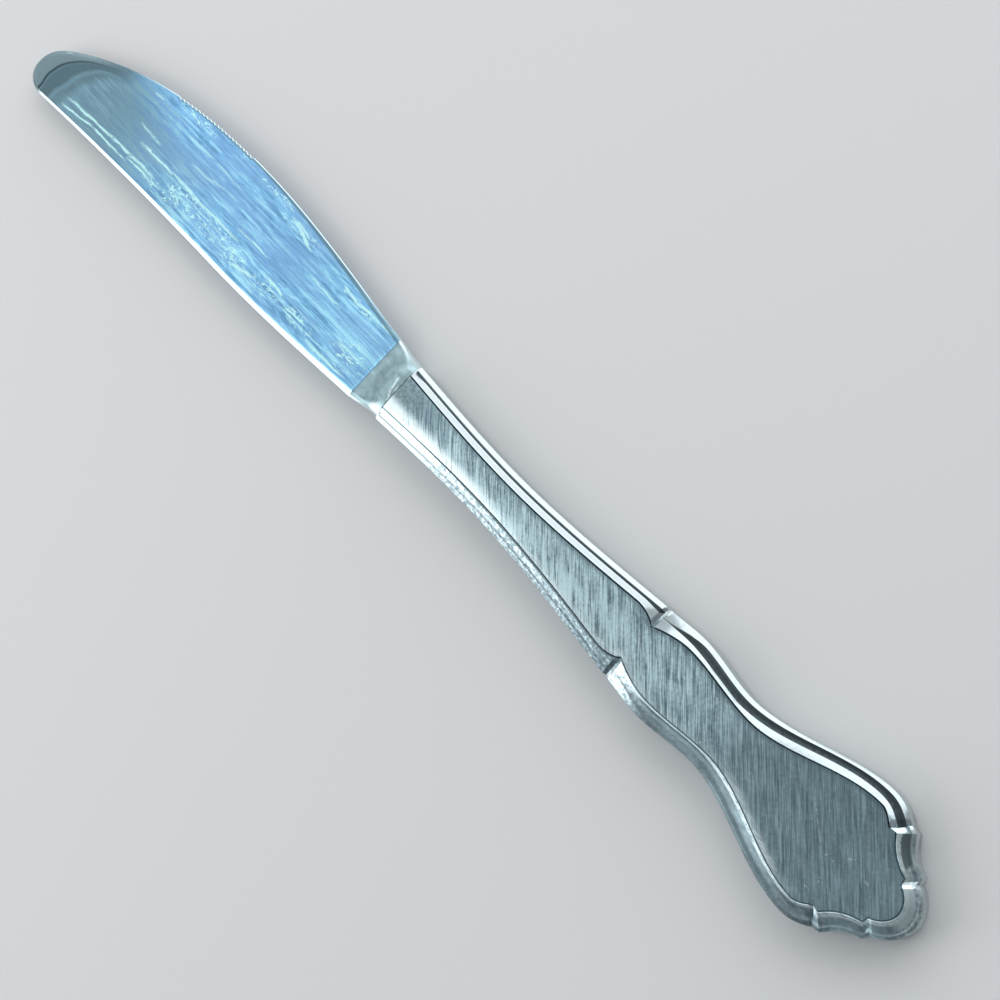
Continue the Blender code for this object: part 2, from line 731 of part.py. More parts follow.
def main():
    """Build every piece under one carrier that lays the knife on its back shell."""
    for obj in list(bpy.data.objects):
        bpy.data.objects.remove(obj)
    carrier = bpy.data.objects.new("knife_carrier", None)
    carrier.location = ((HANDLE_LENGTH - BLADE_LENGTH) / 2, 0.0, HALF_THICKNESS)
    bpy.context.scene.collection.objects.link(carrier)
    blade_steel = metal("blade_steel", (0.45, 0.60, 0.72), 0.22, 1.0)
    shell_steel = metal("shell_steel", (0.40, 0.46, 0.48), 0.30, 1.0)
    braze = metal("braze", (0.62, 0.58, 0.48), 0.35, 1.0)
    solder = metal("solder", (0.66, 0.67, 0.68), 0.30, 1.0)
    filler = metal("filler", (0.55, 0.52, 0.47), 0.85, 0.0)
    blade("blade", blade_steel, carrier)
    half_shell("handle_front_shell", 1, shell_steel, carrier)
    half_shell("handle_back_shell", -1, shell_steel, carrier)
    seam_braze("handle_seam_braze", braze, carrier)
    solder_ring("mouth_solder_ring", solder, carrier)
    handle_core("handle_filler", filler, carrier)
    bpy.context.view_layer.update()


main()
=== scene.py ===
"""Dinner knife: a ground blade with its bolster in a brushed, moulded and hollow handle.

X runs from the butt to the tip, Y from the cutting edge to the spine and Z up, in metres.
Places along the knife are measured from the handle's mouth, and heights from the parting plane.
"""
import math

import bpy
import numpy as np
from bpy.props import FloatProperty, FloatVectorProperty, IntProperty, PointerProperty
from mathutils import Matrix, Vector


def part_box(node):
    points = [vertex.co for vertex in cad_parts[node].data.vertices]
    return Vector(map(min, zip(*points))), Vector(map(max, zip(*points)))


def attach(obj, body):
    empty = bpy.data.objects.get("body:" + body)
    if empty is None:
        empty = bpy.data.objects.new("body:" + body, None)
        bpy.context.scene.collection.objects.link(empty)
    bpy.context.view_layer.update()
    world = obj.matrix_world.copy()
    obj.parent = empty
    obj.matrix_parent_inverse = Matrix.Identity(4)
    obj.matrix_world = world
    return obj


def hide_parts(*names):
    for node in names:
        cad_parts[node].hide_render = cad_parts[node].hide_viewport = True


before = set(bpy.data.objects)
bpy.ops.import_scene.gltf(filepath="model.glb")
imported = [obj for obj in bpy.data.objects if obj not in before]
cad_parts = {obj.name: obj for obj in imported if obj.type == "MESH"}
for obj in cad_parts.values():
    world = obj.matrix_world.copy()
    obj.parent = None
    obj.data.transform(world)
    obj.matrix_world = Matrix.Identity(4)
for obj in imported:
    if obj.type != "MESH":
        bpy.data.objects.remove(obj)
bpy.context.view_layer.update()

bl_info = {
    "name": "Dinner Knife",
    "version": (1, 0, 0),
    "blender": (4, 5, 0),
    "location": "View3D > Sidebar > Knife",
    "description": "Models a dinner knife with a brushed handle round its solid frame",
    "category": "Add Mesh",
}

# Places that the frame gives.
SEAM_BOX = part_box("handle_seam_braze")
MOUTH_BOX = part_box("mouth_solder_ring")
SHELL_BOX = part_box("handle_front_shell")
BLADE_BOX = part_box("blade")
MOUTH = Vector((MOUTH_BOX[1].x, 0.0, (SEAM_BOX[0].z + SEAM_BOX[1].z) / 2))

# Slopes of the outline at its stations, as rise over run.
MOUTH_SLOPE = -0.06
NOTCH_SLOPE_ABOVE = 0.10
NOTCH_SLOPE_BELOW = 0.02
CUSP_SLOPE = 0.42
CORNER_SLOPE = -0.75
HEEL_SPINE_SLOPE = 0.07
MID_SPINE_SLOPE = 0.004
NOSE_SPINE_SLOPE = 0.055
HEEL_EDGE_SLOPE = 0.11
NOSE_EDGE_SLOPE = -0.50

# Shape factors: shares of the stretch they belong to.
LOBE_FULLNESS = (0.68, 0.96, 0.54)
NOSE_LEAD = 0.5
NOSE_END = 0.97
NOSE_SPINE_FULLNESS = 0.62
NOSE_EDGE_FULLNESS = 0.50
BAND_BOW = (0.46, 0.54)
RIDGE_BOW = (0.48, 0.52)
STRAIGHT = (0.5, 0.5)
SPINE_WALL = 0.5
CHANNEL_HOLLOW = 0.07
CLOSED_GROOVE = 0.1
CUSP_WEDGE = 0.3
CHANNEL_OPENING = (0.10, 1.25)
BAND_GIVES_WAY = 0.7
SIDE_VALLEY = 0.5
INNER_KNEE = 0.4
INNER_WALL = 0.55
GRIND_STEP = 0.14
GRIND_STEP_RUN = 0.06
SWELL_RUN = 0.9
TANG_ROOT = 1 / 3
TANG_TAPER = 0.5
ROW_CLEARANCE = 0.3

# Powers and factors that bend a run.
MOUTH_ROUNDNESS = 3.4
NOSE_CROWDING = 1.6
TOOTH_ROUNDNESS = 1.5
BEVEL_TAPER = 1.5
SCALLOP_FALL = 6
LOBE_FALL = 8
LEAST_RIDGE_LINES = 3

# Lengths in metres: points this near are merged, and the blade is at least this thick on each side.
WELD = 1e-7
LEAST_HALF = 8e-6

# How finely each stretch is cut.
UPPER_ROWS = 150
LOWER_ROWS = 150
FLANK_ROWS = 8
SCALLOP_ROWS = 24
GAP_ROWS = 8
LOBE_ROWS = 32
PANEL_COLUMNS = 20
CORE_COLUMNS = 6
BOLSTER_ROWS = 40
GRIND_ROWS = 6
HEEL_ROWS = 110
TOOTH_ROWS = 8
BELLY_ROWS = 60
NOSE_ROWS = 36
FACE_COLUMNS = 48
KEY_SIDES = 48

# Room light and the end of its dark side, softboxes (place, target, sides) and the nearest distance seen.
LIGHT_SIDE = (0.75, -0.55, 0.0)
DARK_END = -0.2
SOFTBOXES = {
    "edge": ((0.16, -0.50, 0.30), (0.0, 0.0, 0.0), (1.0, 0.56)),
    "spine": ((0.27, 0.42, 0.30), (0.0, 0.0, 0.0), (0.36, 0.72)),
    "blade": ((0.62, 0.00, 0.56), (0.06, 0.0, 0.0), (0.55, 0.56)),
}
NEAREST_SEEN = 0.01

# Least angle of a sharp line, millimetres in a metre, cores of soft patches and strokes, and strokes' ends.
SMOOTH_ANGLE = math.radians(32)
MM = 1000.0
PATCH_CORE = 0.2
STROKE_CORE = 0.25
STROKE_ENDS = 6.0

# Bands of the rim in the shells' attribute, from the wall to the panel.
WALL, OUTER, CHANNEL, CHANNEL_MIDDLE, RIDGE, LINE, LIP, PANEL = 0.0, 1.0, 2.0, 2.5, 3.0, 5.0, 6.0, 8.0


def size(name, description, default):
    """A length that a user can change."""
    return FloatProperty(name=name, description=description, default=default, unit="LENGTH", precision=5)


def station(name, description, default):
    """A pair of lengths: a place along the handle and a width or a reach there."""
    return FloatVectorProperty(
        name=name, description=description, default=default, size=2, unit="LENGTH", precision=5
    )


def colour(name, description, default):
    """A linear colour that a user can change."""
    return FloatVectorProperty(
        name=name, description=description, default=default, size=3, subtype="COLOR", min=0.0, max=1.0
    )


def amount(name, description, default):
    """A plain number from nothing upwards."""
    return FloatProperty(name=name, description=description, default=default, min=0.0)


class KnifeHandle(bpy.types.PropertyGroup):
    """Sizes of the hollow handle."""

    length: size("Length", "Mouth to butt", MOUTH.x - SHELL_BOX[0].x)
    thickness: size("Thickness", "Panel to panel", 2 * (SHELL_BOX[1].z - MOUTH.z))
    mouth_width: size("Mouth width", "Full width where the handle meets the bolster", 0.0117)
    neck: station("Neck", "Distance from the mouth and full width at the narrowest place", (0.0251, 0.0097))
    notch: station("Middle notch", "Distance from the butt and full width at the notch", (0.0599, 0.0147))
    notch_bite: size("Notch bite", "How far the middle notch cuts into the outline", 0.00026)
    bump: station("Bump", "Distance from the butt and full width of the swell", (0.0522, 0.01595))
    waist: station("Waist", "Distance from the butt and full width of the waist", (0.0405, 0.01355))
    shoulder: station(
        "Shoulder",
        "Distance from the butt and full width of the widest place",
        (0.0156, SHELL_BOX[1].y - SHELL_BOX[0].y),
    )
    corner: station("Corner notch", "Distance from the butt and full width", (0.01055, 0.0210))
    flare: station("Flare", "Distance from the butt and full width at the scallop's start", (0.00915, 0.0204))
    point: station("Point", "Distance from the butt and full width where the scallop ends", (0.0043, 0.0126))
    lobe: station("Lobe", "Distance from the butt and full width of the end lobe's root", (0.0039, 0.01035))
    sag: size("Scallop sag", "Depth of the scallop's hollow", 0.0006)
    upper_rim: size("Upper rim", "Width of the rim above the middle notch", 0.0023)
    cusp: station("Cusp", "Run and reach of the cusp at the middle notch", (0.0045, 0.00145))
    bump_rim: size("Bump rim", "Width of the rim at the swell", 0.0028)
    waist_rim: station("Waist rim", "How far the rim's waist is shifted and its width", (0.0019, 0.00275))
    shoulder_rim: size("Shoulder rim", "Width of the rim at the shoulder", 0.00272)
    corner_rim: station("Corner rim", "Reach of the rim along and across at the corner", (0.00195, 0.0025))
    flare_rim: station("Flare rim", "Reach of the rim along and across at the flare", (0.00215, 0.00205))
    point_rim: station("Point rim", "Reach of the rim along and across at the point", (0.0016, 0.0019))
    lobe_rim: station("Lobe rim", "Reach of the rim along and across at the lobe", (0.0017, 0.00195))
    apex_rim: size("Apex rim", "Width of the rim at the end of the lobe", 0.0030)
    outer_band: size("Outer band", "Width of the polished band along the sides", 0.00072)
    butt_band: size("Butt band", "Width of the polished band round the butt", 0.0005)
    groove: size("Groove", "Width of the fine groove above the notch", 0.00045)
    channel: size("Channel", "Width of the cove below the notch", 0.0013)
    butt_channel: size("Butt channel", "Width of the cove round the butt", 0.0006)
    line: size("Line", "Width of the fine line round the panel", 0.00022)
    line_lip: size("Line lip", "Width of the panel's lip beside the line", 0.00012)
    crown: size("Crown", "How much the panel is crowned at the mouth", 0.00035)
    channel_depth: size("Channel depth", "Depth of the channel below the panel", 0.0005)
    outer_step: size("Outer step", "Height of the outer band", 0.0005)
    line_depth: size("Line depth", "Depth of the fine line", 0.0002)
    ridge_drop: size("Ridge drop", "How far the inner ridge lies below the panel", 0.00005)
    notch_depth: size("Notch depth", "Depth of the notches across the rim", 0.00045)
    notch_run: size("Notch run", "Length of a notch's slope", 0.00065)
    wall: size("Wall", "Thickness of the pressed shells", 0.0008)
    seam: size("Seam", "Thickness of the braze between the shells", 0.0002)
    solder: size("Solder", "Thickness of the solder at the mouth", 0.0002)


class KnifeBlade(bpy.types.PropertyGroup):
    """Sizes of the blade, its bolster and its tang."""

    length: size("Length", "Mouth to tip", BLADE_BOX[1].x - MOUTH.x)
    bolster: size("Bolster", "Length of the bolster", 0.0074)
    inset: size("Bolster inset", "How far the bolster stays inside the handle's mouth", 0.00012)
    heel_spine: size("Heel spine", "Spine from the centre line at the heel", 0.0068)
    mid_spine: station("Mid spine", "Place from the mouth and spine from the centre line", (0.0464, 0.00872))
    heel_edge: size("Heel edge", "Edge from the centre line at the heel", 0.0065)
    belly: station("Belly", "Place from the mouth and edge from the centre line", (0.0529, 0.0105))
    nose_run: size("Nose run", "Length of the rounded nose", 0.0059)
    nose_across: size("Nose", "Tip from the centre line", 0.0062)
    nose_spine: size("Nose spine", "Spine from the centre line where the nose starts", 0.0103)
    nose_edge: size("Nose edge", "Edge from the centre line where the nose starts", 0.00055)
    spine_thickness: size("Spine thickness", "Thickness of the spine at the heel", 0.0024)
    nose_thickness: size("Nose thickness", "Thickness of the spine at the nose", 0.0016)
    edge_thickness: size("Edge thickness", "Thickness behind the cutting edge", 0.0004)
    heel_edge_thickness: size("Heel edge thickness", "Thickness of the blunt edge at the heel", 0.0014)
    heel_run: size("Heel run", "Length over which the heel is ground to the edge", 0.0180)
    spine_round: size("Spine bevel", "Width of the polished bevel along the spine", 0.00115)
    edge_round: size("Edge round", "Radius of the cutting edge's sides", 0.0003)
    nose_round: size("Nose round", "Width of the rounded band at the nose", 0.0035)
    nose_edge_round: station("Nose edge round", "Run and width of the band beside the nose", (0.0150, 0.0018))
    tooth_pitch: size("Tooth pitch", "Distance from tooth to tooth", 0.00108)
    tooth_depth: size("Tooth depth", "Depth of the teeth", 0.00028)
    tooth_reach: size("Tooth reach", "How far the teeth's flutes run into the face", 0.0009)
    teeth_at: size("Teeth at", "Where the teeth start", 0.0554)
    tooth_count: IntProperty(name="Teeth", description="Number of teeth along the edge", default=20, min=1)
    tang_length: size("Tang length", "Length of the tang inside the handle", 0.0580)
    tang_width: size("Tang width", "Full width of the tang", 0.0045)
    tang_thickness: size("Tang thickness", "Full thickness of the tang", 0.0022)
    tang_point: size("Tang point", "Length of the tang's pointed end", 0.0060)
    key_at: size("Key at", "Where the tang's round keys are", 0.0300)
    key_radius: size("Key radius", "Radius of the tang's round keys", 0.0010)
    socket_gap: size("Socket gap", "Clearance round the tang", 0.0003)


class KnifeFinish(bpy.types.PropertyGroup):
    """Colours of the metals."""

    blade_deep: colour("Blade shade", "Darkest streaks of the blade's face", (0.15, 0.35, 0.57))
    blade_blue: colour("Blade", "The blade's face", (0.235, 0.52, 0.82))
    blade_pale: colour("Blade light", "Pale streaks of the blade's face", (0.40, 0.79, 0.99))
    blade_violet: colour("Blade tint", "Cloudy zones of the blade's face", (0.22, 0.42, 0.72))
    tip_grey: colour("Tip", "The duller end of the blade's face", (0.165, 0.285, 0.35))
    # Painted shade: the dark bands and the dark line round the nose.
    tip_painted_shade: colour("Tip shade", "Shaded bands round the nose", (0.105, 0.175, 0.21))
    tip_edge: colour("Tip edge", "Rounded band along the nose", (0.21, 0.30, 0.34))
    bolster_grey: colour("Bolster", "The satin bolster", (0.34, 0.48, 0.52))
    # Wear and painted highlights: rubbed strokes and nicks, and painted highlights on the spine's bevel, the
    # bolster, the panel, the lip and the end lobe.
    wear_and_highlight_white: colour("Wear", "Rubbed edges and strokes", (0.84, 0.97, 1.0))
    scuff_cyan: colour("Scuffs", "Curled scuffs and strokes on the blade", (0.62, 1.0, 1.0))
    panel_grey: colour("Panel", "Brushed panel", (0.36, 0.50, 0.56))
    panel_dark: colour("Panel shade", "Dark brush lines", (0.19, 0.29, 0.34))
    panel_light: colour("Panel light", "Bright brush lines", (0.64, 0.84, 0.89))
    rim_steel: colour("Rim", "Polished rim", (0.65, 0.77, 0.80))
    # Painted shade for the ridge and the outer band on the edge's side.
    rim_painted_shade: colour("Rim shade", "Ridge and outer band on the edge's side", (0.43, 0.48, 0.505))
    channel_grey: colour("Channel", "Dull steel in the channel on the spine's side", (0.20, 0.27, 0.31))
    # Tarnish, and painted shade that makes the channel darker on the edge's side.
    channel_tarnish_and_shade: colour("Dark channel", "Tarnished channel on the edge's side", (0.09, 0.115, 0.125))
    # Painted shade in the fine line round the panel; the cuts in the panel take this dark too.
    line_dark: colour("Line", "Tarnish in the fine lines", (0.08, 0.11, 0.125))
    braze: colour("Braze", "Braze along the seam", (0.60, 0.57, 0.48))
    solder: colour("Solder", "Solder at the mouth", (0.72, 0.76, 0.78))
    filler: colour("Filler", "Cement inside the handle", (0.52, 0.49, 0.44))


class KnifeStage(bpy.types.PropertyGroup):
    """Camera, floor and lights."""

    camera_at: FloatVectorProperty(
        name="Camera", description="Where the camera stands", default=(-0.146133, -0.039466, 0.286741),
        unit="LENGTH", subtype="XYZ",
    )
    camera_target: FloatVectorProperty(
        name="Target", description="What the camera looks at", default=(-0.020069, 0.000400, 0.0032),
        unit="LENGTH", subtype="XYZ",
    )
    camera_up: FloatVectorProperty(
        name="Up", description="Direction that is up in the picture", default=(0.66096, -0.72548, 0.19186),
        subtype="DIRECTION",
    )
    camera_lens: FloatProperty(
        name="Lens", description="Focal length in millimetres", default=68.4, subtype="DISTANCE_CAMERA"
    )
    floor_size: size("Floor", "Side of the floor", 8.0)
    floor_colour: colour("Floor colour", "Pale floor", (0.84, 0.85, 0.86))
    room_dark: colour("Room shade", "The room's dark side, behind the spine", (0.26, 0.28, 0.29))
    room_light: colour("Room light", "The room's light side, beyond the tip", (0.98, 0.99, 1.0))
    edge_light: amount("Edge light", "Brightness of the softbox on the cutting edge's side", 0.95)
    spine_light: amount("Spine light", "Brightness of the softbox on the spine's side", 1.5)
    blade_light: amount("Blade light", "Brightness of the softbox that the blade mirrors", 0.40)


def smoothstep(t):
    """Ease from 0 to 1, flat at both ends."""
    t = min(max(t, 0.0), 1.0)
    return t * t * (3 - 2 * t)


def blend(a, b, t):
    """Straight mix of two numbers."""
    return a + (b - a) * t


def hermite(start, end, at):
    """Cubic through two (place, value, slope) knots."""
    run = end[0] - start[0]
    t = (at - start[0]) / run
    lead = (t ** 3 - 2 * t ** 2 + t) * run * start[2]
    tail = (t ** 3 - t ** 2) * run * end[2]
    return blend(start[1], end[1], smoothstep(t)) + lead + tail


def through(knots, at):
    """Value of a smooth curve through several (place, value, slope) knots."""
    for start, end in zip(knots, knots[1:]):
        if at <= end[0]:
            return hermite(start, end, at)
    return knots[-1][1]


def bezier(points, t):
    """Point on a cubic Bezier curve in the plan."""
    a, b, c, d = points
    u = 1 - t
    return a * u ** 3 + b * 3 * u * u * t + c * 3 * u * t * t + d * t ** 3


def sagged(start, end, sag, t):
    """Point on a shallow arc from start to end that sags to the left of its direction."""
    chord = end - start
    side = Vector((-chord.y, chord.x)).normalized()
    return start + chord * t + side * sag * 4 * t * (1 - t)


def rounded(distance, radius):
    """Height share of a quarter round that starts at the outline."""
    t = min(distance / radius, 1.0)
    return math.sqrt(max(1 - (1 - t) ** 2, 0.0))


def bowed(start, bow, end, count):
    """Points of a bowed facet of the rim as (share, height, part of the way), without its first point."""
    bend = (blend(start[0], end[0], bow[0]), blend(start[1], end[1], bow[1]))
    for i in range(1, count + 1):
        t = i / count
        u = 1 - t
        share, height = (s * u * u + m * 2 * u * t + e * t * t for s, m, e in zip(start, bend, end))
        yield share, height, t


def plan(at, half):
    """Plan point at a distance from the mouth, on the spine's side."""
    return Vector((-at, half))


class Outline:
    """The handle in plan: its outline, its panel and the places along its rim."""

    def __init__(self, handle):
        self.h = handle
        self.half = handle.thickness / 2
        self.notch_at = handle.length - handle.notch[0]
        self.corner_at = handle.length - handle.corner[0]
        self.panel_corner_at = self.corner_at - handle.corner_rim[0]
        bump, waist, shoulder = (handle.length - s[0] for s in (handle.bump, handle.waist, handle.shoulder))
        self.bump_at = bump
        self.upper = [
            (0.0, handle.mouth_width / 2, MOUTH_SLOPE),
            (handle.neck[0], handle.neck[1] / 2, 0.0),
            (self.notch_at, handle.notch[1] / 2, NOTCH_SLOPE_ABOVE),
        ]
        self.lower = [
            (self.notch_at, handle.notch[1] / 2, NOTCH_SLOPE_BELOW),
            (bump, handle.bump[1] / 2, 0.0),
            (waist, handle.waist[1] / 2, 0.0),
            (shoulder, handle.shoulder[1] / 2, 0.0),
            (self.corner_at, handle.corner[1] / 2, CORNER_SLOPE),
        ]
        corner_half = handle.corner[1] / 2 - handle.corner_rim[1]
        self.panel_lower = [
            (self.notch_at, self.panel_half(self.notch_at), CUSP_SLOPE),
            (bump, handle.bump[1] / 2 - handle.bump_rim, 0.0),
            (waist + handle.waist_rim[0], handle.waist[1] / 2 - handle.waist_rim[1], 0.0),
            (shoulder, handle.shoulder[1] / 2 - handle.shoulder_rim, 0.0),
            (self.panel_corner_at, corner_half, CORNER_SLOPE),
        ]

    def valley(self, at, notch_at):
        """Depth share of a V cut across the rim, by the distance to it."""
        return max(1 - abs(at - notch_at) / self.h.notch_run, 0.0)

    def outline_half(self, at):
        """Half width of the handle's outline, mouth to corner notch."""
        knots = self.upper if at <= self.notch_at else self.lower
        return through(knots, at) - self.h.notch_bite * self.valley(at, self.notch_at)

    def into_cusp(self, at):
        """Share of the way into the cusp that reaches in at the middle notch."""
        run = self.h.cusp[0]
        return max(at - (self.notch_at - run), 0.0) / run

    def panel_half(self, at):
        """Half width of the panel, mouth to corner, with the cusp that reaches in at the middle notch."""
        if at <= self.notch_at:
            return self.outline_half(at) - self.h.upper_rim - self.h.cusp[1] * self.into_cusp(at) ** 2
        return through(self.panel_lower, at)

    def crown(self, at):
        """How far the panel's edge drops below its middle: it is crowned near the mouth."""
        return self.h.crown * (1 - smoothstep(at / self.notch_at))

    def panel_height(self, place, inset):
        """Height of the panel, or of a surface an inset below it, at a plan point."""
        half = self.panel_half(-place.x)
        return self.half - inset - self.crown(-place.x) * min(abs(place.y) / half, 1.0) ** 2

    def channel_width(self, at):
        """Width of the channel in the rim: a fine groove above the notch, a wide cove below it."""
        h = self.h
        if at <= self.notch_at:
            opening = smoothstep(at / h.notch_run) * smoothstep((self.notch_at - at) / h.notch_run)
            wedge = CUSP_WEDGE * h.cusp[1] * self.into_cusp(at) ** 2
            return blend(h.groove * CLOSED_GROOVE, h.groove + wedge, opening)
        swell = (at - self.notch_at) / (self.bump_at - self.notch_at)
        first, full = CHANNEL_OPENING
        return h.groove * CLOSED_GROOVE + h.channel * smoothstep((swell - first) / (full - first))

    def outer_band(self, at):
        """Width of the polished outer band, which gives way to the cove as that opens behind the notch."""
        h = self.h
        if at <= self.notch_at:
            return h.outer_band
        return h.outer_band + BAND_GIVES_WAY * (h.channel - self.channel_width(at))

    def side_place(self, at, panel_at):
        """Place on the handle's long side, with the valleys of the middle and corner notches."""
        valley = max(self.valley(at, self.notch_at), self.valley(at, self.corner_at))
        outer = plan(at, self.outline_half(at))
        inner = plan(panel_at, self.panel_half(panel_at))
        return Place(self, outer, inner, valley, self.outer_band(at), self.channel_width(at))

    def butt_place(self, outer, inner, valley):
        """Place on the butt, where the rim's bands are narrower."""
        return Place(self, outer, inner, valley, self.h.butt_band, self.h.butt_channel)

    def butt_points(self):
        """Outline and panel points of the butt, from the corner notch to the lobe's root."""
        h = self.h
        stops = (h.corner, h.flare, h.point, h.lobe)
        rims = (h.corner_rim, h.flare_rim, h.point_rim, h.lobe_rim)
        for (back, width), rim in zip(stops, rims):
            at = h.length - back
            yield plan(at, width / 2), plan(at - rim[0], width / 2 - rim[1])

    def lobe_curve(self, root, apex):
        """Control points of half the end lobe, from its root to the apex on the centre line."""
        out = root - apex
        first = apex + Vector((out.x * LOBE_FULLNESS[0], out.y * LOBE_FULLNESS[1]))
        second = apex + Vector((0.0, out.y * LOBE_FULLNESS[2]))
        return root, first, second, apex

    def half_rim(self, start):
        """Places along the spine's side of the handle, from the mouth to the apex of the butt."""
        h = self.h
        places = []
        for at in evenly(start, self.notch_at, UPPER_ROWS, [self.notch_at - h.notch_run]):
            places.append(self.side_place(at, at))
        stops = [self.notch_at + h.notch_run, self.corner_at - h.notch_run]
        panel_run = (self.panel_corner_at - self.notch_at) / (self.corner_at - self.notch_at)
        for at in evenly(self.notch_at, self.corner_at, LOWER_ROWS, stops)[1:]:
            places.append(self.side_place(at, self.notch_at + (at - self.notch_at) * panel_run))
        corner, flare, point, root = self.butt_points()
        for t in shares(FLANK_ROWS):
            places.append(self.butt_place(corner[0].lerp(flare[0], t), corner[1].lerp(flare[1], t), 1 - t))
        for t in shares(SCALLOP_ROWS):
            outer, inner = (sagged(a, b, h.sag, t) for a, b in zip(flare, point))
            valley = SIDE_VALLEY * max(1 - (1 - t) * SCALLOP_FALL, 0.0)
            places.append(self.butt_place(outer, inner, valley))
        for t in shares(GAP_ROWS):
            valley = 1 - SIDE_VALLEY * abs(2 * t - 1)
            places.append(self.butt_place(point[0].lerp(root[0], t), point[1].lerp(root[1], t), valley))
        ends = plan(h.length, 0.0), plan(h.length - h.apex_rim, 0.0)
        for t in shares(LOBE_ROWS):
            outer, inner = (bezier(self.lobe_curve(a, b), t) for a, b in zip(root, ends))
            valley = SIDE_VALLEY * max(1 - t * LOBE_FALL, 0.0)
            places.append(self.butt_place(outer, inner, valley))
        return places


class Place:
    """One place along the rim: a point on the outline, one on the panel's edge, and its band widths."""

    def __init__(self, outline, outer, inner, valley, outer_band, channel):
        self.plan = outline
        self.outer = outer
        self.inner = inner
        self.width = (inner - outer).length
        self.dip = outline.h.notch_depth * valley
        self.line = outline.h.line / self.width
        self.band = outer_band / self.width
        self.foot = min(self.band + channel / self.width, 1 - LEAST_RIDGE_LINES * self.line)

    def at(self, share, height):
        """Point of the section at a share of the way from the outline to the panel's edge."""
        point = self.outer.lerp(self.inner, share)
        return point.x, point.y, height

    def profile(self):
        """Outside of the rim as (share, height, band) from the parting film to the panel's lip."""
        h = self.plan.h
        top = self.plan.half - self.plan.crown(-self.inner.x)
        ridge = top - h.ridge_drop - self.dip
        low = top - h.channel_depth - self.dip
        edge = top - h.channel_depth - h.outer_step - self.dip * SIDE_VALLEY
        hollow = low - 2 * (self.foot - self.band) * self.width * CHANNEL_HOLLOW
        middle = (self.band + self.foot) / 2
        floor = top - h.line_depth - self.dip * SIDE_VALLEY
        corners = [
            (0.0, h.seam / 2),
            (0.0, edge),
            (self.band, low),
            (middle, (low + hollow) / 2),
            (self.foot, low),
            (1 - self.line, ridge),
            (1.0, floor),
            (1 + h.line_lip / self.width, top),
        ]
        bows = [
            (STRAIGHT, 3, WALL, 1.0),
            (BAND_BOW, 9, OUTER, 1.0),
            (STRAIGHT, 3, CHANNEL, 0.5),
            (STRAIGHT, 3, CHANNEL_MIDDLE, 0.5),
            (RIDGE_BOW, 8, RIDGE, 2.0),
            (STRAIGHT, 2, LINE, 1.0),
            (STRAIGHT, 2, LIP, 1.0),
        ]
        points = [(*corners[0], WALL)]
        for start, end, (bow, count, first, run) in zip(corners, corners[1:], bows):
            for share, height, t in bowed(start, bow, end, count):
                points.append((share, height, first + run * t))
        return points

    def height(self, share):
        """Height of the rim's outer surface at a share of its width."""
        points = self.profile()
        for (s0, z0, _), (s1, z1, _) in zip(points, points[1:]):
            if s0 <= share <= s1 and s1 > s0:
                return blend(z0, z1, (share - s0) / (s1 - s0))
        return points[-1][1]

    def inside(self, inset, floor):
        """Inside of the wall as (share, height) from the parting plane up to the panel's edge."""
        start = inset / self.width
        knee = max(self.foot, blend(start, 1.0, INNER_KNEE))
        wall_top = max((self.height(start) - inset) * INNER_WALL, floor * 2)
        return [
            (start, floor),
            (start, wall_top),
            (knee, max(self.height(knee) - inset, wall_top)),
            (1.0, max(self.height(1.0) - inset, wall_top)),
        ]


def shares(count):
    """Even shares of a stretch, without its start."""
    return [i / count for i in range(1, count + 1)]


def evenly(start, end, count, stops):
    """Evenly spread places between start and end, with the given stops added."""
    near = (end - start) / count * ROW_CLEARANCE
    places = [blend(start, end, i / count) for i in range(count + 1)]
    kept = [place for place in places[1:-1] if all(abs(place - stop) > near for stop in stops)]
    return sorted([start] + kept + stops + [end])


def across(left, right, columns, height):
    """Points between two points of the panel's edge, without the ends, at the panel's height."""
    for i in range(1, columns):
        place = Vector(left[:2]).lerp(Vector(right[:2]), i / columns)
        yield place.x, place.y, height(place)


def mirrored(points):
    """The same points on the other side of the centre line, in reverse order."""
    return [(x, -y, z) for x, y, z in reversed(points)]


def shell_ring(outline, place):
    """Section of a half shell with its bands: over the outside and back along the inside."""
    h = outline.h
    profile = place.profile()
    side = [place.at(share, height) for share, height, _ in profile]
    bands = [band for _, _, band in profile]
    inner = [place.at(share, height) for share, height in place.inside(h.wall, h.seam / 2)]
    far_side = mirrored(side)
    far_inner = mirrored(inner)
    top = list(across(side[-1], far_side[0], PANEL_COLUMNS, lambda p: outline.panel_height(p, 0.0)))
    core = list(across(far_inner[0], inner[-1], CORE_COLUMNS, lambda p: outline.panel_height(p, h.wall)))
    ring = side + top + far_side + far_inner[::-1] + core + inner[::-1]
    marks = bands + [PANEL] * len(top) + bands[::-1] + [WALL] * (2 * len(inner) + len(core))
    return ring + ring[:1], marks + marks[:1]


def select_only(obj):
    """Make one object the active and only selected one."""
    bpy.ops.object.select_all(action="DESELECT")
    bpy.context.view_layer.objects.active = obj
    obj.select_set(True)


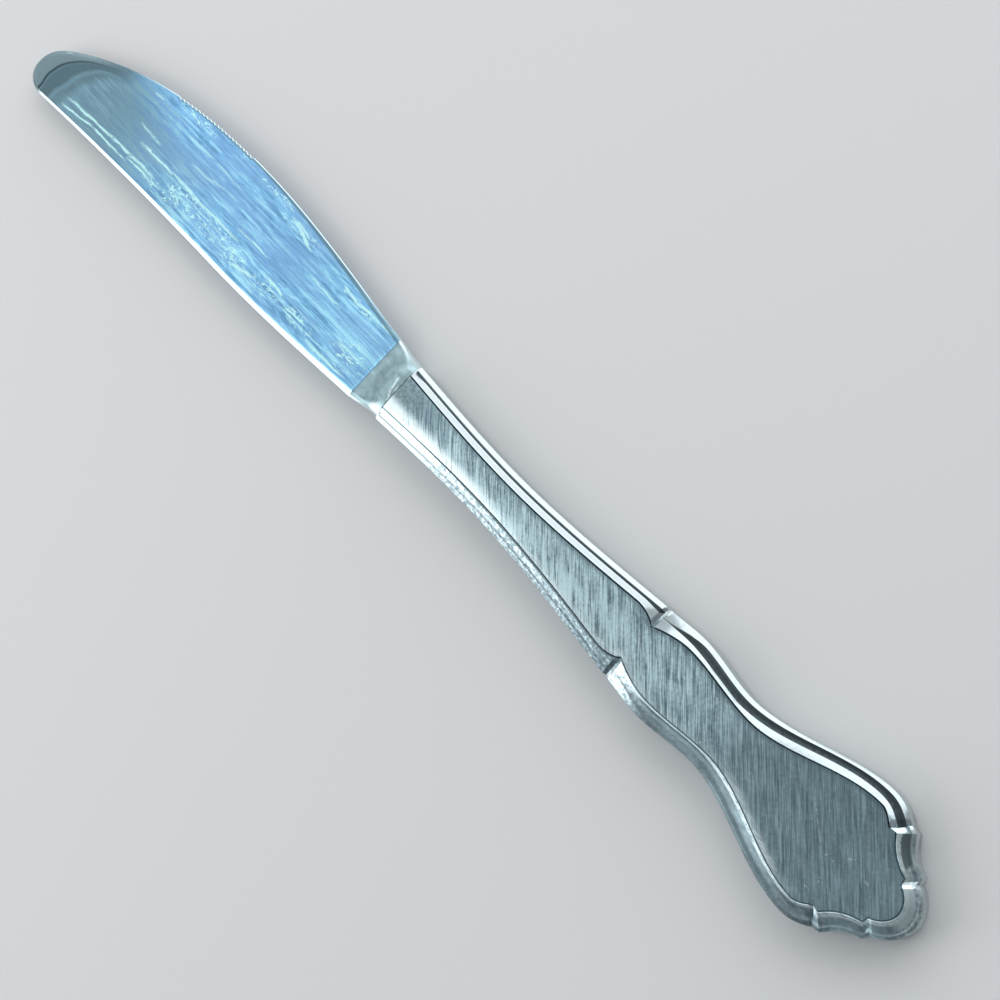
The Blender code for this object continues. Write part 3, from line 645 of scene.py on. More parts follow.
def lofted(name, rows, marks, mark_name):
    """Loft rows of points, given from the mouth, into a skin: a grid whose vertices are moved there."""
    points = np.array(rows) + np.array(MOUTH)
    count, width = points.shape[:2]
    bpy.ops.object.select_all(action="DESELECT")
    bpy.ops.mesh.primitive_grid_add(x_subdivisions=count - 1, y_subdivisions=width - 1, size=1.0)
    obj = bpy.context.object
    obj.name = obj.data.name = name
    flat = np.zeros(len(obj.data.vertices) * 3)
    obj.data.vertices.foreach_get("co", flat)
    flat = flat.reshape(-1, 3)
    row = np.rint((flat[:, 0] + 0.5) * (count - 1)).astype(int)
    column = np.rint((flat[:, 1] + 0.5) * (width - 1)).astype(int)
    obj.data.vertices.foreach_set("co", points[row, column].ravel())
    mark = obj.data.attributes.new(mark_name, "FLOAT", "POINT")
    mark.data.foreach_set("value", np.array(marks)[row, column].astype(np.float32))
    bpy.ops.object.mode_set(mode="EDIT")
    bpy.ops.mesh.select_all(action="SELECT")
    bpy.ops.mesh.remove_doubles(threshold=WELD)
    bpy.ops.mesh.select_mode(type="EDGE")
    bpy.ops.mesh.select_all(action="DESELECT")
    bpy.ops.mesh.select_non_manifold(
        extend=False, use_multi_face=False, use_non_contiguous=False, use_verts=False
    )
    return obj


def closed(obj):
    """Turn the faces outwards, leave edit mode and shade the piece smooth between its sharp lines."""
    bpy.ops.mesh.select_all(action="SELECT")
    bpy.ops.mesh.normals_make_consistent(inside=False)
    bpy.ops.object.mode_set(mode="OBJECT")
    select_only(obj)
    bpy.ops.object.shade_smooth_by_angle(angle=SMOOTH_ANGLE)
    return obj


def combine(obj, other, operation):
    """Cut or join with another solid, which is used up."""
    select_only(obj)
    modifier = obj.modifiers.new(other.name, "BOOLEAN")
    modifier.operation = operation
    modifier.solver = "EXACT"
    modifier.object = other
    bpy.ops.object.modifier_apply(modifier=modifier.name)
    bpy.data.objects.remove(other)


def dress(obj, material, slot, *nodes):
    """Give a piece its material and its body, and hide the nodes that it stands for; the slot is not used."""
    obj.data.materials.clear()
    obj.data.materials.append(material)
    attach(obj, "root")
    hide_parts(*nodes)


def half_shell(name, outline, sign):
    """A pressed half of the handle: moulded outside, plain inside, open at the mouth and the seam."""
    rows, marks = [], []
    for place in outline.half_rim(outline.h.solder):
        ring, bands = shell_ring(outline, place)
        rows.append([(x, y, sign * z) for x, y, z in ring])
        marks.append(bands)
    obj = lofted(name, rows, marks, "band")
    bpy.ops.mesh.edge_face_add()
    return closed(obj)


def seam_film(name, outline):
    """Film of braze that joins the half shells along the parting plane, round the butt."""
    h = outline.h
    half = []
    for place in outline.half_rim(h.solder):
        inset = h.wall / place.width
        z = h.seam / 2
        corners = ((0.0, z), (inset, z), (inset, -z), (0.0, -z), (0.0, z))
        half.append([place.at(share, height) for share, height in corners])
    other = [[(x, -y, z) for x, y, z in row] for row in reversed(half[:-1])]
    rows = half + other
    obj = lofted(name, rows, np.zeros((len(rows), len(rows[0]))), "band")
    bpy.ops.mesh.edge_face_add()
    return closed(obj)


def tang_bar(name, blade, clearance, root):
    """The tang's flat bar with its pointed end, grown by a clearance."""
    length = blade.tang_length - blade.tang_point + clearance + root
    bpy.ops.object.select_all(action="DESELECT")
    bpy.ops.mesh.primitive_cube_add(size=1.0, location=MOUTH + Vector((root - length / 2, 0.0, 0.0)))
    obj = bpy.context.object
    obj.name = name
    obj.scale = (length, blade.tang_width + 2 * clearance, blade.tang_thickness + 2 * clearance)
    bpy.ops.object.transform_apply(location=True, rotation=True, scale=True)
    bpy.ops.object.mode_set(mode="EDIT")
    bpy.ops.mesh.select_mode(type="FACE")
    bpy.ops.mesh.select_all(action="DESELECT")
    bpy.ops.object.mode_set(mode="OBJECT")
    for face in obj.data.polygons:
        face.select = face.normal.x < 0 and abs(face.normal.x) > abs(face.normal.y) + abs(face.normal.z)
    bpy.ops.object.mode_set(mode="EDIT")
    bpy.ops.mesh.extrude_region_move(TRANSFORM_OT_translate={"value": (-blade.tang_point, 0.0, 0.0)})
    bpy.ops.transform.resize(value=(1.0, TANG_TAPER, 1.0), center_override=(0.0, 0.0, MOUTH.z))
    bpy.ops.object.mode_set(mode="OBJECT")
    return obj


def key_notch(name, blade, side):
    """Round bar that cuts a key into the tang's side."""
    bpy.ops.object.select_all(action="DESELECT")
    place = MOUTH + Vector((-blade.key_at, side * blade.tang_width / 2, 0.0))
    bpy.ops.mesh.primitive_cylinder_add(
        vertices=KEY_SIDES, radius=blade.key_radius, depth=2 * blade.tang_thickness, location=place
    )
    bpy.context.object.name = name
    bpy.ops.object.transform_apply(location=True, rotation=True, scale=True)
    return bpy.context.object


def solder_ring(name, outline, blade):
    """Film of solder between the bolster and the handle's mouth, with the tang's hole through it."""
    h = outline.h
    place = outline.half_rim(h.solder)[0]
    side = [place.at(share, height) for share, height, _ in place.profile()[1:]]
    upper = side + mirrored(side)
    section = [(y, z) for _, y, z in upper] + [(y, -z) for _, y, z in reversed(upper)]
    bpy.ops.object.select_all(action="DESELECT")
    bpy.ops.mesh.primitive_circle_add(vertices=len(section), radius=1.0, fill_type="NGON")
    obj = bpy.context.object
    obj.name = obj.data.name = name
    for vert, (y, z) in zip(obj.data.vertices, section):
        vert.co = MOUTH + Vector((0.0, y, z))
    bpy.ops.object.mode_set(mode="EDIT")
    bpy.ops.mesh.select_all(action="SELECT")
    bpy.ops.mesh.extrude_region_move(TRANSFORM_OT_translate={"value": (-h.solder, 0.0, 0.0)})
    closed(obj)
    combine(obj, tang_bar("tang_hole", blade, blade.socket_gap, h.solder), "DIFFERENCE")
    select_only(obj)
    bpy.ops.object.shade_smooth_by_angle(angle=SMOOTH_ANGLE)
    return obj


class BladeForm:
    """The blade's plan and its thickness."""

    def __init__(self, blade, handle):
        self.b = blade
        mouth = handle.mouth_width / 2 - blade.inset
        self.mouth_half = handle.thickness / 2 - blade.inset
        self.nose_at = blade.length - blade.nose_run
        self.spine_knots = [
            (0.0, mouth, 0.0),
            (blade.bolster, blade.heel_spine, HEEL_SPINE_SLOPE),
            (blade.mid_spine[0], blade.mid_spine[1], MID_SPINE_SLOPE),
            (self.nose_at, blade.nose_spine, NOSE_SPINE_SLOPE),
        ]
        self.edge_knots = [
            (0.0, mouth, 0.0),
            (blade.bolster, blade.heel_edge, HEEL_EDGE_SLOPE),
            (blade.belly[0], blade.belly[1], 0.0),
            (self.nose_at, blade.nose_edge, NOSE_EDGE_SLOPE),
        ]

    def nose_curve(self, start, slope, fullness):
        """Control points of one side of the rounded nose."""
        nose = Vector((self.b.length, self.b.nose_across))
        lead = self.b.nose_run * NOSE_LEAD
        first = start + Vector((lead, lead * slope))
        return start, first, Vector((nose.x, blend(nose.y, start.y, fullness))), nose

    def lines(self):
        """Lines across the blade as (spine point, edge point, tooth depth), from the mouth to the nose."""
        b = self.b
        swell = b.bolster * (1 - GRIND_STEP_RUN)
        teeth_end = b.teeth_at + b.tooth_pitch * b.tooth_count
        stretches = [
            (0.0, swell, BOLSTER_ROWS),
            (swell, b.bolster, GRIND_ROWS),
            (b.bolster, b.teeth_at, HEEL_ROWS),
            (b.teeth_at, teeth_end, b.tooth_count * TOOTH_ROWS),
            (teeth_end, self.nose_at, BELLY_ROWS),
        ]
        places = [0.0]
        for start, end, count in stretches:
            places += [blend(start, end, t) for t in shares(count)]
        for at in places:
            spine = Vector((at, through(self.spine_knots, at)))
            edge = Vector((at, -through(self.edge_knots, at)))
            yield spine, edge, self.tooth_depth(at)
        spine = self.nose_curve(Vector((self.nose_at, b.nose_spine)), NOSE_SPINE_SLOPE, NOSE_SPINE_FULLNESS)
        edge = self.nose_curve(Vector((self.nose_at, -b.nose_edge)), -NOSE_EDGE_SLOPE, NOSE_EDGE_FULLNESS)
        for t in shares(NOSE_ROWS):
            t = NOSE_END * (1 - (1 - t) ** NOSE_CROWDING)
            yield bezier(spine, t), bezier(edge, t), 0.0

    def tooth_depth(self, at):
        """How deep the teeth cut into the edge at a place along the blade."""
        tooth = (at - self.b.teeth_at) / self.b.tooth_pitch
        if not 0 < tooth < self.b.tooth_count:
            return 0.0
        return self.b.tooth_depth * (1 - abs(2 * (tooth % 1.0) - 1) ** TOOTH_ROUNDNESS)

    def ground(self, at, share, width):
        """Half thickness of the ground blade at a share of the way from spine to edge."""
        b = self.b
        along = (at - b.bolster) / (b.length - b.bolster)
        spine = blend(b.spine_thickness, b.nose_thickness, along) / 2
        heel = smoothstep((at - b.bolster) / b.heel_run)
        edge = blend(b.heel_edge_thickness, b.edge_thickness, heel) / 2
        run, reach = b.nose_edge_round
        nose = smoothstep((at - b.length + b.nose_round + run) / run)
        edge_round = blend(blend(b.heel_edge_thickness / 2, b.edge_round, heel), reach, nose)
        bevel_width = b.spine_round * (spine * 2 / b.spine_thickness) ** BEVEL_TAPER
        bevel = min(share * width / bevel_width, 1.0)
        ends = blend(SPINE_WALL, 1.0, bevel) * rounded((1 - share) * width, edge_round)
        return blend(spine, edge, share) * ends * rounded(b.length - at, b.nose_round)

    def half_thickness(self, at, share, width):
        """Half thickness anywhere along the blade and its bolster, which swells from a step at the grind."""
        ground = self.ground(max(at, self.b.bolster), share, width)
        offset = abs(2 * share - 1)
        mouth = self.mouth_half * (1 - offset ** MOUTH_ROUNDNESS) ** (1 / MOUTH_ROUNDNESS)
        into_bolster = 1 - min(at / self.b.bolster, 1.0)
        step = GRIND_STEP * smoothstep(into_bolster / GRIND_STEP_RUN)
        swell = (1 - GRIND_STEP) * smoothstep(into_bolster / SWELL_RUN)
        return blend(ground, mouth, step + swell)

    def ring(self, spine, edge, depth):
        """Section of the blade as a closed ring: over the front from spine to edge, back behind."""
        width = (spine - edge).length
        front = []
        for i in range(FACE_COLUMNS + 1):
            share = (1 - math.cos(math.pi * i / FACE_COLUMNS)) / 2
            point = spine.lerp(edge, share)
            inside = 0 < i < FACE_COLUMNS
            height = max(self.half_thickness(point.x, share, width), LEAST_HALF) if inside else 0.0
            flute = max(1 - (1 - share) * width / self.b.tooth_reach, 0.0)
            front.append((point.x, point.y + depth * flute, height))
        back = [(x, y, -z) for x, y, z in front[-2:0:-1]]
        return front + back + front[:1]


def outline_distance(rows):
    """Distance of every point from the blade's outline in the plan, in millimetres."""
    points = np.array(rows)
    spine = points[:, 0, :2]
    edge = points[:, FACE_COLUMNS, :2]
    outline = np.concatenate([spine, edge[::-1]])
    start, chord = outline[:-1], np.diff(outline, axis=0)
    square = np.maximum((chord ** 2).sum(1), WELD ** 2)
    found = []
    for row in points[:, :, :2]:
        gap = row[:, None] - start[None]
        share = np.clip((gap * chord).sum(2) / square, 0, 1)
        found.append(np.sqrt(((gap - share[..., None] * chord) ** 2).sum(2)).min(1))
    return np.array(found) * MM


def forged_blade(name, form):
    """Blade, bolster and tang, forged in one piece and symmetrical about the parting plane."""
    rows = [form.ring(*line) for line in form.lines()]
    obj = lofted(name, rows, outline_distance(rows), "inward")
    bpy.ops.mesh.edge_face_add()
    closed(obj)
    bar = tang_bar("tang_bar", form.b, 0.0, form.b.bolster * TANG_ROOT)
    for key, side in (("tang_key_spine", 1), ("tang_key_edge", -1)):
        combine(bar, key_notch(key, form.b, side), "DIFFERENCE")
    combine(obj, bar, "UNION")
    select_only(obj)
    bpy.ops.object.shade_smooth_by_angle(angle=SMOOTH_ANGLE)
    return obj


class Finish:
    """A node material that is built up step by step."""

    def __init__(self, name, mark=None):
        self.material = bpy.data.materials.new(name)
        self.material.use_nodes = True
        self.tree = self.material.node_tree
        self.shader = self.tree.nodes["Principled BSDF"]
        self.noises = {}
        self.place = self.from_mouth()
        self.x, self.y = self.node("ShaderNodeSeparateXYZ", {0: self.place}).node.outputs[:2]
        self.mark = self.attribute(mark) if mark else None

    def put(self, node, socket, value):
        """Link a socket to another one, or set its constant."""
        if isinstance(value, bpy.types.NodeSocket):
            self.tree.links.new(value, node.inputs[socket])
        else:
            node.inputs[socket].default_value = value

    def node(self, kind, inputs, output=0, **settings):
        """Add a node with its inputs and give one of its outputs."""
        node = self.tree.nodes.new(kind)
        for key, value in settings.items():
            setattr(node, key, value)
        for socket, value in inputs.items():
            self.put(node, socket, value)
        return node.outputs[output]

    def set(self, **inputs):
        """Set the shader's sockets; an underscore in a key stands for a space."""
        for key, value in inputs.items():
            self.put(self.shader, key.replace("_", " "), value)

    def from_mouth(self):
        """Millimetres from the handle's mouth and the parting plane."""
        coordinates = self.tree.nodes.new("ShaderNodeTexCoord").outputs["Object"]
        return self.vector("SCALE", self.vector("SUBTRACT", coordinates, tuple(MOUTH)), scale=MM)

    def vector(self, operation, a, b=None, scale=None, output=0):
        """Vector arithmetic."""
        inputs = {0: a}
        if b is not None:
            inputs[1] = b
        if scale is not None:
            inputs["Scale"] = scale
        return self.node("ShaderNodeVectorMath", inputs, output, operation=operation)

    def dot(self, a, b):
        """Scalar product of two vectors."""
        return self.vector("DOT_PRODUCT", a, b, output=1)

    def math(self, operation, a, b=0.0, clamp=False):
        """Number arithmetic."""
        return self.node("ShaderNodeMath", {0: a, 1: b}, operation=operation, use_clamp=clamp)

    def product(self, first, *others):
        """Product of several numbers."""
        for other in others:
            first = self.math("MULTIPLY", first, other)
        return first

    def largest(self, values):
        """Largest of several numbers, which a generator may add one by one."""
        values = iter(values)
        found = next(values)
        for value in values:
            found = self.math("MAXIMUM", found, value)
        return found

    def step(self, value, low, high):
        """Ease from 0 at low to 1 at high; low may be the larger one."""
        ends = (0.0, 1.0) if high > low else (1.0, 0.0)
        inputs = {0: value, 1: min(low, high), 2: max(low, high), 3: ends[0], 4: ends[1]}
        return self.node("ShaderNodeMapRange", inputs, interpolation_type="SMOOTHSTEP")

    def between(self, value, low, high, soft):
        """1 between two values, with soft ends."""
        above = self.step(value, low - soft, low + soft)
        return self.product(above, self.step(value, high + soft, high - soft))

    def noise(self, name, vector=None):
        """One of the named noises, made once, over the place or another vector."""
        if name not in self.noises:
            stretch, detail, roughness, distortion = NOISES[name]
            inputs = {
                "Vector": self.vector("MULTIPLY", self.place if vector is None else vector, stretch),
                "Scale": 1.0,
                "Detail": detail,
                "Roughness": roughness,
                "Distortion": distortion,
            }
            self.noises[name] = self.node("ShaderNodeTexNoise", inputs)
        return self.noises[name]

    def mix(self, share, a, b):
        """Mix of two colours."""
        inputs = {0: share, 6: opaque(a), 7: opaque(b)}
        return self.node("ShaderNodeMix", inputs, 2, data_type="RGBA")

    def lay(self, base, tone, *masks):
        """Lay a colour over another one, as far as the product of the masks goes."""
        return self.mix(self.product(*masks), base, tone)

    def line(self, value, factor, offset):
        """A number times a factor, plus an offset."""
        return self.math("ADD", self.math("MULTIPLY", value, factor), offset)

    def ramp(self, value, *stops):
        """Colours along a value."""
        node = self.tree.nodes.new("ShaderNodeValToRGB")
        self.put(node, 0, value)
        elements = node.color_ramp.elements
        while len(elements) < len(stops):
            elements.new(1.0)
        for element, (position, tone) in zip(elements, stops):
            element.position = position
            element.color = opaque(tone)
        return node.outputs[0]

    def weighed(self, *terms):
        """Weighed sum of several numbers."""
        total = 0.0
        for weight, value in terms:
            total = self.node("ShaderNodeMath", {0: value, 1: weight, 2: total}, operation="MULTIPLY_ADD")
        return total

    def curve(self, value, points):
        """Smooth curve through (value, result) points."""
        low, high = points[0][0], points[-1][0]
        least = min(result for _, result in points)
        most = max(result for _, result in points)
        share = self.node("ShaderNodeMapRange", {0: value, 1: low, 2: high})
        node = self.tree.nodes.new("ShaderNodeFloatCurve")
        self.put(node, "Value", share)
        knots = node.mapping.curves[0].points
        for _ in points[2:]:
            knots.new(0.5, 0.5)
        for knot, (at, result) in zip(knots, points):
            knot.location = ((at - low) / (high - low), (result - least) / (most - least))
        node.mapping.update()
        return self.node("ShaderNodeMapRange", {0: node.outputs[0], 3: least, 4: most})

    def attribute(self, name):
        """A number that the piece carries at its points."""
        return self.node("ShaderNodeAttribute", {}, 2, attribute_name=name)

    def patch(self, place, centre, reach):
        """Soft round patch on the surface, 1 in its middle."""
        gap = self.vector("SUBTRACT", place, centre)
        squeezed = self.vector("MULTIPLY", gap, tuple(1 / r for r in reach))
        return self.step(self.vector("LENGTH", squeezed, output=1), 1.0, PATCH_CORE)

    def stroke(self, place, start, end, width):
        """Soft line that thins out towards both ends."""
        run = Vector(end) - Vector(start)
        from_start = self.vector("SUBTRACT", place, start)
        share = self.math("DIVIDE", self.dot(from_start, tuple(run)), run.length_squared, clamp=True)
        gap = self.vector("SUBTRACT", from_start, self.vector("SCALE", tuple(run), scale=share))
        line = self.step(self.vector("LENGTH", gap, output=1), width, width * STROKE_CORE)
        hump = self.math("MULTIPLY", share, self.math("SUBTRACT", 1.0, share))
        ends = self.math("MULTIPLY", hump, STROKE_ENDS, clamp=True)
        return self.math("MULTIPLY", line, ends)

    def bump(self, height, strength, distance):
        """Fine relief on the surface."""
        inputs = {"Height": height, "Strength": strength, "Distance": distance}
        self.set(Normal=self.node("ShaderNodeBump", inputs))


def scaled(tone, factor):
    """A colour made darker or lighter."""
    return tuple(min(factor * part, 1.0) for part in tone)


def opaque(tone):
    """A colour with its alpha, or a socket as it is."""
    return tone if isinstance(tone, bpy.types.NodeSocket) else (*tone, 1.0)


# Noises: features per millimetre along, across and through, then detail, roughness and distortion.
NOISES = {
    "long_streaks": ((0.055, 1.8, 0.3), 4.0, 0.6, 0.0),
    "fine_streaks": ((0.13, 2.7, 0.3), 4.0, 0.65, 0.5),
    "wavy_streaks": ((0.20, 0.85, 0.3), 4.0, 0.62, 1.0),
    "tint_zones": ((0.045, 0.30, 0.3), 3.0, 0.5, 0.6),
    "tip_cloud": ((0.5, 0.5, 0.5), 3.0, 0.55, 0.0),
    "scuff_curls": ((0.36, 1.1, 0.5), 2.0, 0.5, 1.4),
    "scuff_flecks": ((0.7, 1.7, 0.5), 4.0, 0.68, 0.0),
    "stroke_sway": ((0.20, 0.40, 0.3), 4.0, 0.62, 0.0),
    "stroke_breaks": ((0.55, 2.2, 0.5), 4.0, 0.68, 0.0),
    "bolster_mottle": ((0.5, 0.7, 0.7), 4.0, 0.6, 0.0),
    "brush_hair": ((0.15, 4.4, 0.3), 4.0, 0.66, 0.3),
    "brush_wisps": ((0.13, 1.6, 0.3), 4.0, 0.64, 0.4),
    "shell_speckle": ((1.6, 1.6, 1.6), 4.0, 0.65, 0.0),
    "shell_cloud": ((0.16, 0.30, 0.2), 3.0, 0.55, 0.0),
    "border_flecks": ((0.5, 2.2, 0.5), 4.0, 0.68, 0.6),
    "rim_grain": ((1.5, 2.0, 2.0), 4.0, 0.68, 0.4),
    "film_mottle": ((0.8, 1.2, 1.2), 4.0, 0.6, 0.0),
    "cement_grain": ((2.4, 2.4, 2.4), 5.0, 0.7, 0.0),
    "floor_cloud": ((0.004, 0.004, 0.004), 2.0, 0.55, 0.0),
}

# Worn places of the blade's faces, in millimetres from the mouth and the centre line.
STROKE_WEIGHT = 0.85
BLADE_STROKES = [
    ((97.0, 6.7), (80.0, 5.7), 0.42), ((84.0, 5.9), (68.0, 5.3), 0.46), ((97.0, 8.4), (86.0, 7.1), 0.34),
    ((88.5, 7.2), (76.0, 6.9), 0.36), ((77.0, 6.4), (66.0, 6.2), 0.30), ((79.8, -0.1), (72.5, 0.2), 0.36),
    ((77.0, 2.6), (63.0, 2.1), 0.44), ((66.0, 2.2), (53.0, 2.6), 0.52), ((58.0, 2.4), (45.0, 2.1), 0.46),
    ((65.0, -1.5), (57.0, -2.0), 0.40), ((59.5, -2.3), (51.0, -2.8), 0.34),
    ((82.0, -5.8), (79.0, -6.0), 0.36), ((70.0, -4.8), (61.0, -5.1), 0.32),
    ((61.0, -5.0), (52.0, -4.7), 0.28), ((44.0, 5.9), (37.8, 4.7), 0.46),
    ((36.0, 2.6), (29.8, 3.3), 0.46), ((29.5, 4.3), (23.5, 3.7), 0.34), ((48.0, 0.6), (38.0, 0.3), 0.30),
    ((40.6, -8.0), (32.4, -5.9), 0.50), ((39.5, -8.1), (34.5, -7.3), 0.38),
    ((23.2, -6.1), (18.0, -5.4), 0.46), ((19.5, -5.3), (14.5, -6.0), 0.44),
    ((16.5, -5.9), (8.4, -5.9), 0.36), ((30.0, -3.0), (20.0, -2.6), 0.30),
    ((21.0, 5.6), (10.0, 5.2), 0.36), ((16.5, 1.6), (9.0, 1.2), 0.32),
]
BLADE_SCUFFS = [
    ((60.0, 4.2), (7.5, 2.6)), ((51.5, 4.0), (8.0, 3.0)), ((45.0, 4.6), (6.0, 2.6)),
    ((34.5, 4.2), (5.0, 2.4)), ((25.0, 4.2), (5.5, 1.8)), ((66.0, 6.2), (8.0, 1.2)),
    ((37.0, -7.2), (7.5, 1.6)), ((17.5, -5.5), (7.5, 1.1)), ((12.5, 2.0), (5.5, 4.0)),
    ((16.0, 5.2), (7.0, 1.3)), ((70.0, -8.2), (8.0, 1.2)), ((46.0, -9.0), (8.0, 0.9)),
]
SOLDER_SMEAR = [
    ((0.0, 2.2, 2.9), (1.0, 0.2, 3.0), 0.34), ((0.8, 0.5, 3.0), (1.4, -2.4, 2.9), 0.30),
    ((0.1, 3.2, 2.7), (0.2, -1.2, 3.0), 0.26),
]
NOSE_LINE = [
    (-4.4, 89.8), (-3.5, 92.6), (-2.3, 95.6), (-0.6, 99.0), (0.9, 101.0), (2.4, 102.5), (3.6, 103.3),
    (5.0, 103.8), (6.4, 104.1), (7.4, 104.0), (8.4, 103.7),
]
# Course of the painted highlight arc inside the nose: places across and along, in millimetres.
NOSE_ARC = [
    (-3.6, 86.6), (-3.1, 90.0), (-2.3, 92.6), (-1.4, 94.6), (0.8, 97.0), (2.2, 98.0), (3.6, 98.6),
    (5.6, 99.0), (7.5, 99.8),
]


def polished_face(f, tones, streak):
    """Blue face with lengthwise streaks, and the duller tip."""
    face = f.ramp(
        streak,
        (0.44, tones.blade_deep),
        (0.485, tones.blade_blue),
        (0.51, tones.blade_blue),
        (0.56, tones.blade_pale),
    )
    face = f.lay(face, tones.blade_violet, f.step(f.noise("tint_zones"), 0.46, 0.62), 0.55)
    near_heel = f.product(f.step(f.x, 38.0, 10.0), f.step(f.noise("fine_streaks"), 0.40, 0.56))
    face = f.lay(face, tones.blade_pale, near_heel, 0.28)
    slant = f.math("MULTIPLY", f.math("MINIMUM", f.math("ADD", f.y, 1.0), 0.0), 1.6)
    wander = f.math("MULTIPLY", f.math("SUBTRACT", streak, 0.5), 70.0)
    tip = f.step(f.math("ADD", f.math("ADD", f.x, slant), wander), 62.0, 88.0)
    dull = f.ramp(streak, (0.40, scaled(tones.tip_grey, 0.85)), (0.60, scaled(tones.tip_grey, 1.25)))
    return f.lay(face, dull, tip, 0.94)


def nose_bands(f, tones, face):
    """Rounded band round the nose with a painted dark line inside it, then a pale arc of painted highlight
    between two bands of painted shade, and a pale line of painted highlight beside the dark line.
    """
    beyond_line = f.math("SUBTRACT", f.x, f.curve(f.y, NOSE_LINE))
    beyond_arc = f.math("SUBTRACT", f.x, f.curve(f.y, NOSE_ARC))
    cloud = f.noise("tip_cloud")
    front = f.step(f.x, 85.0, 96.0)
    # Painted shade inside the arc and between the arc and the dark line, then the arc itself as a painted
    # highlight.
    shaded = f.product(front, f.step(beyond_arc, -3.8, -1.2), f.step(cloud, 0.15, 0.5))
    face = f.lay(face, scaled(tones.tip_painted_shade, 1.1), shaded, 0.85)
    face = f.lay(face, scaled(tones.tip_painted_shade, 0.9), front, f.step(beyond_arc, 0.1, 0.9), 0.9)
    arc = f.product(front, f.between(beyond_arc, -0.6, 0.5, 0.45), f.step(cloud, 0.25, 0.45))
    face = f.lay(face, tones.tip_grey, arc, 0.9)
    band = f.mix(f.step(f.mark, 1.2, 0.1), scaled(tones.tip_edge, 0.85), scaled(tones.tip_edge, 1.15))
    fading = f.step(f.x, 88.0, 101.0)
    face = f.lay(face, band, fading, f.step(beyond_line, -0.3, 0.5))
    # Painted dark line, and a painted highlight line just inside it.
    dark_line = f.between(beyond_line, -0.25, 0.2, 0.16)
    face = f.lay(face, scaled(tones.tip_painted_shade, 0.3), fading, dark_line, 0.9)
    painted_highlight_line = f.between(beyond_line, -0.75, -0.4, 0.15)
    return f.lay(face, tones.tip_grey, fading, painted_highlight_line, cloud, 0.8)


def blade_wear(f):
    """Scuffs and long strokes, alike on both faces."""
    off_middle = f.math("SUBTRACT", f.noise("scuff_curls"), 0.5)
    curled = f.step(f.math("ABSOLUTE", off_middle), 0.060, 0.024)
    sway = f.math("SUBTRACT", f.noise("stroke_sway"), 0.5)
    flat = f.node("ShaderNodeCombineXYZ", {0: f.x, 1: f.math("ADD", f.y, sway)})
    patches = f.largest(f.patch(flat, (*at, 0.0), (*reach, 1.0)) for at, reach in BLADE_SCUFFS)
    flecks = f.step(f.noise("scuff_flecks"), 0.44, 0.54)
    scuffs = f.product(curled, f.step(patches, 0.05, 0.6), flecks)
    sprinkled = f.step(f.noise("fine_streaks"), 0.56, 0.66)
    sprinkled = f.product(sprinkled, f.step(f.x, 84.0, 60.0), f.step(f.y, -2.0, 5.0), 0.6)
    scuffs = f.largest((scuffs, sprinkled))
    broken = f.step(f.noise("stroke_breaks"), 0.34, 0.50)
    lines = f.largest(
        f.stroke(flat, (*a, 0.0), (*b, 0.0), STROKE_WEIGHT * width) for a, b, width in BLADE_STROKES
    )
    bright = f.largest((f.step(f.y, -1.0, 2.0), f.step(f.x, 48.0, 42.0)))
    return f.largest((scuffs, f.product(lines, broken, f.line(bright, 0.45, 0.5))))


def satin_bolster(f, tones):
    """Mottled bolster with painted highlights along its sides and at the mouth on the spine's side, painted
    shade towards the grind, and smears of solder at the mouth.
    """
    grey = tones.bolster_grey
    white = tones.wear_and_highlight_white
    mottle = f.noise("bolster_mottle")
    satin = f.ramp(mottle, (0.35, scaled(grey, 0.72)), (0.65, scaled(grey, 1.1)))
    satin = f.lay(satin, white, f.step(mottle, 0.63, 0.72), 0.35)
    # Painted shade where the bolster falls towards the grind.
    satin = f.lay(satin, tones.panel_dark, f.step(f.x, 5.4, 7.2), 0.45)
    # Painted highlights: white along the bolster's outline, and a white patch on its spine's side at the
    # mouth.
    satin = f.lay(satin, white, f.step(f.mark, 0.6, 0.3), 0.9)
    satin = f.lay(satin, white, f.patch(f.place, (0.6, 5.0, 2.0), (2.4, 2.0, 3.0)))
    smear = f.largest(f.stroke(f.place, a, b, width) for a, b, width in SOLDER_SMEAR)
    return f.lay(satin, white, smear, f.step(mottle, 0.34, 0.50), 0.85)


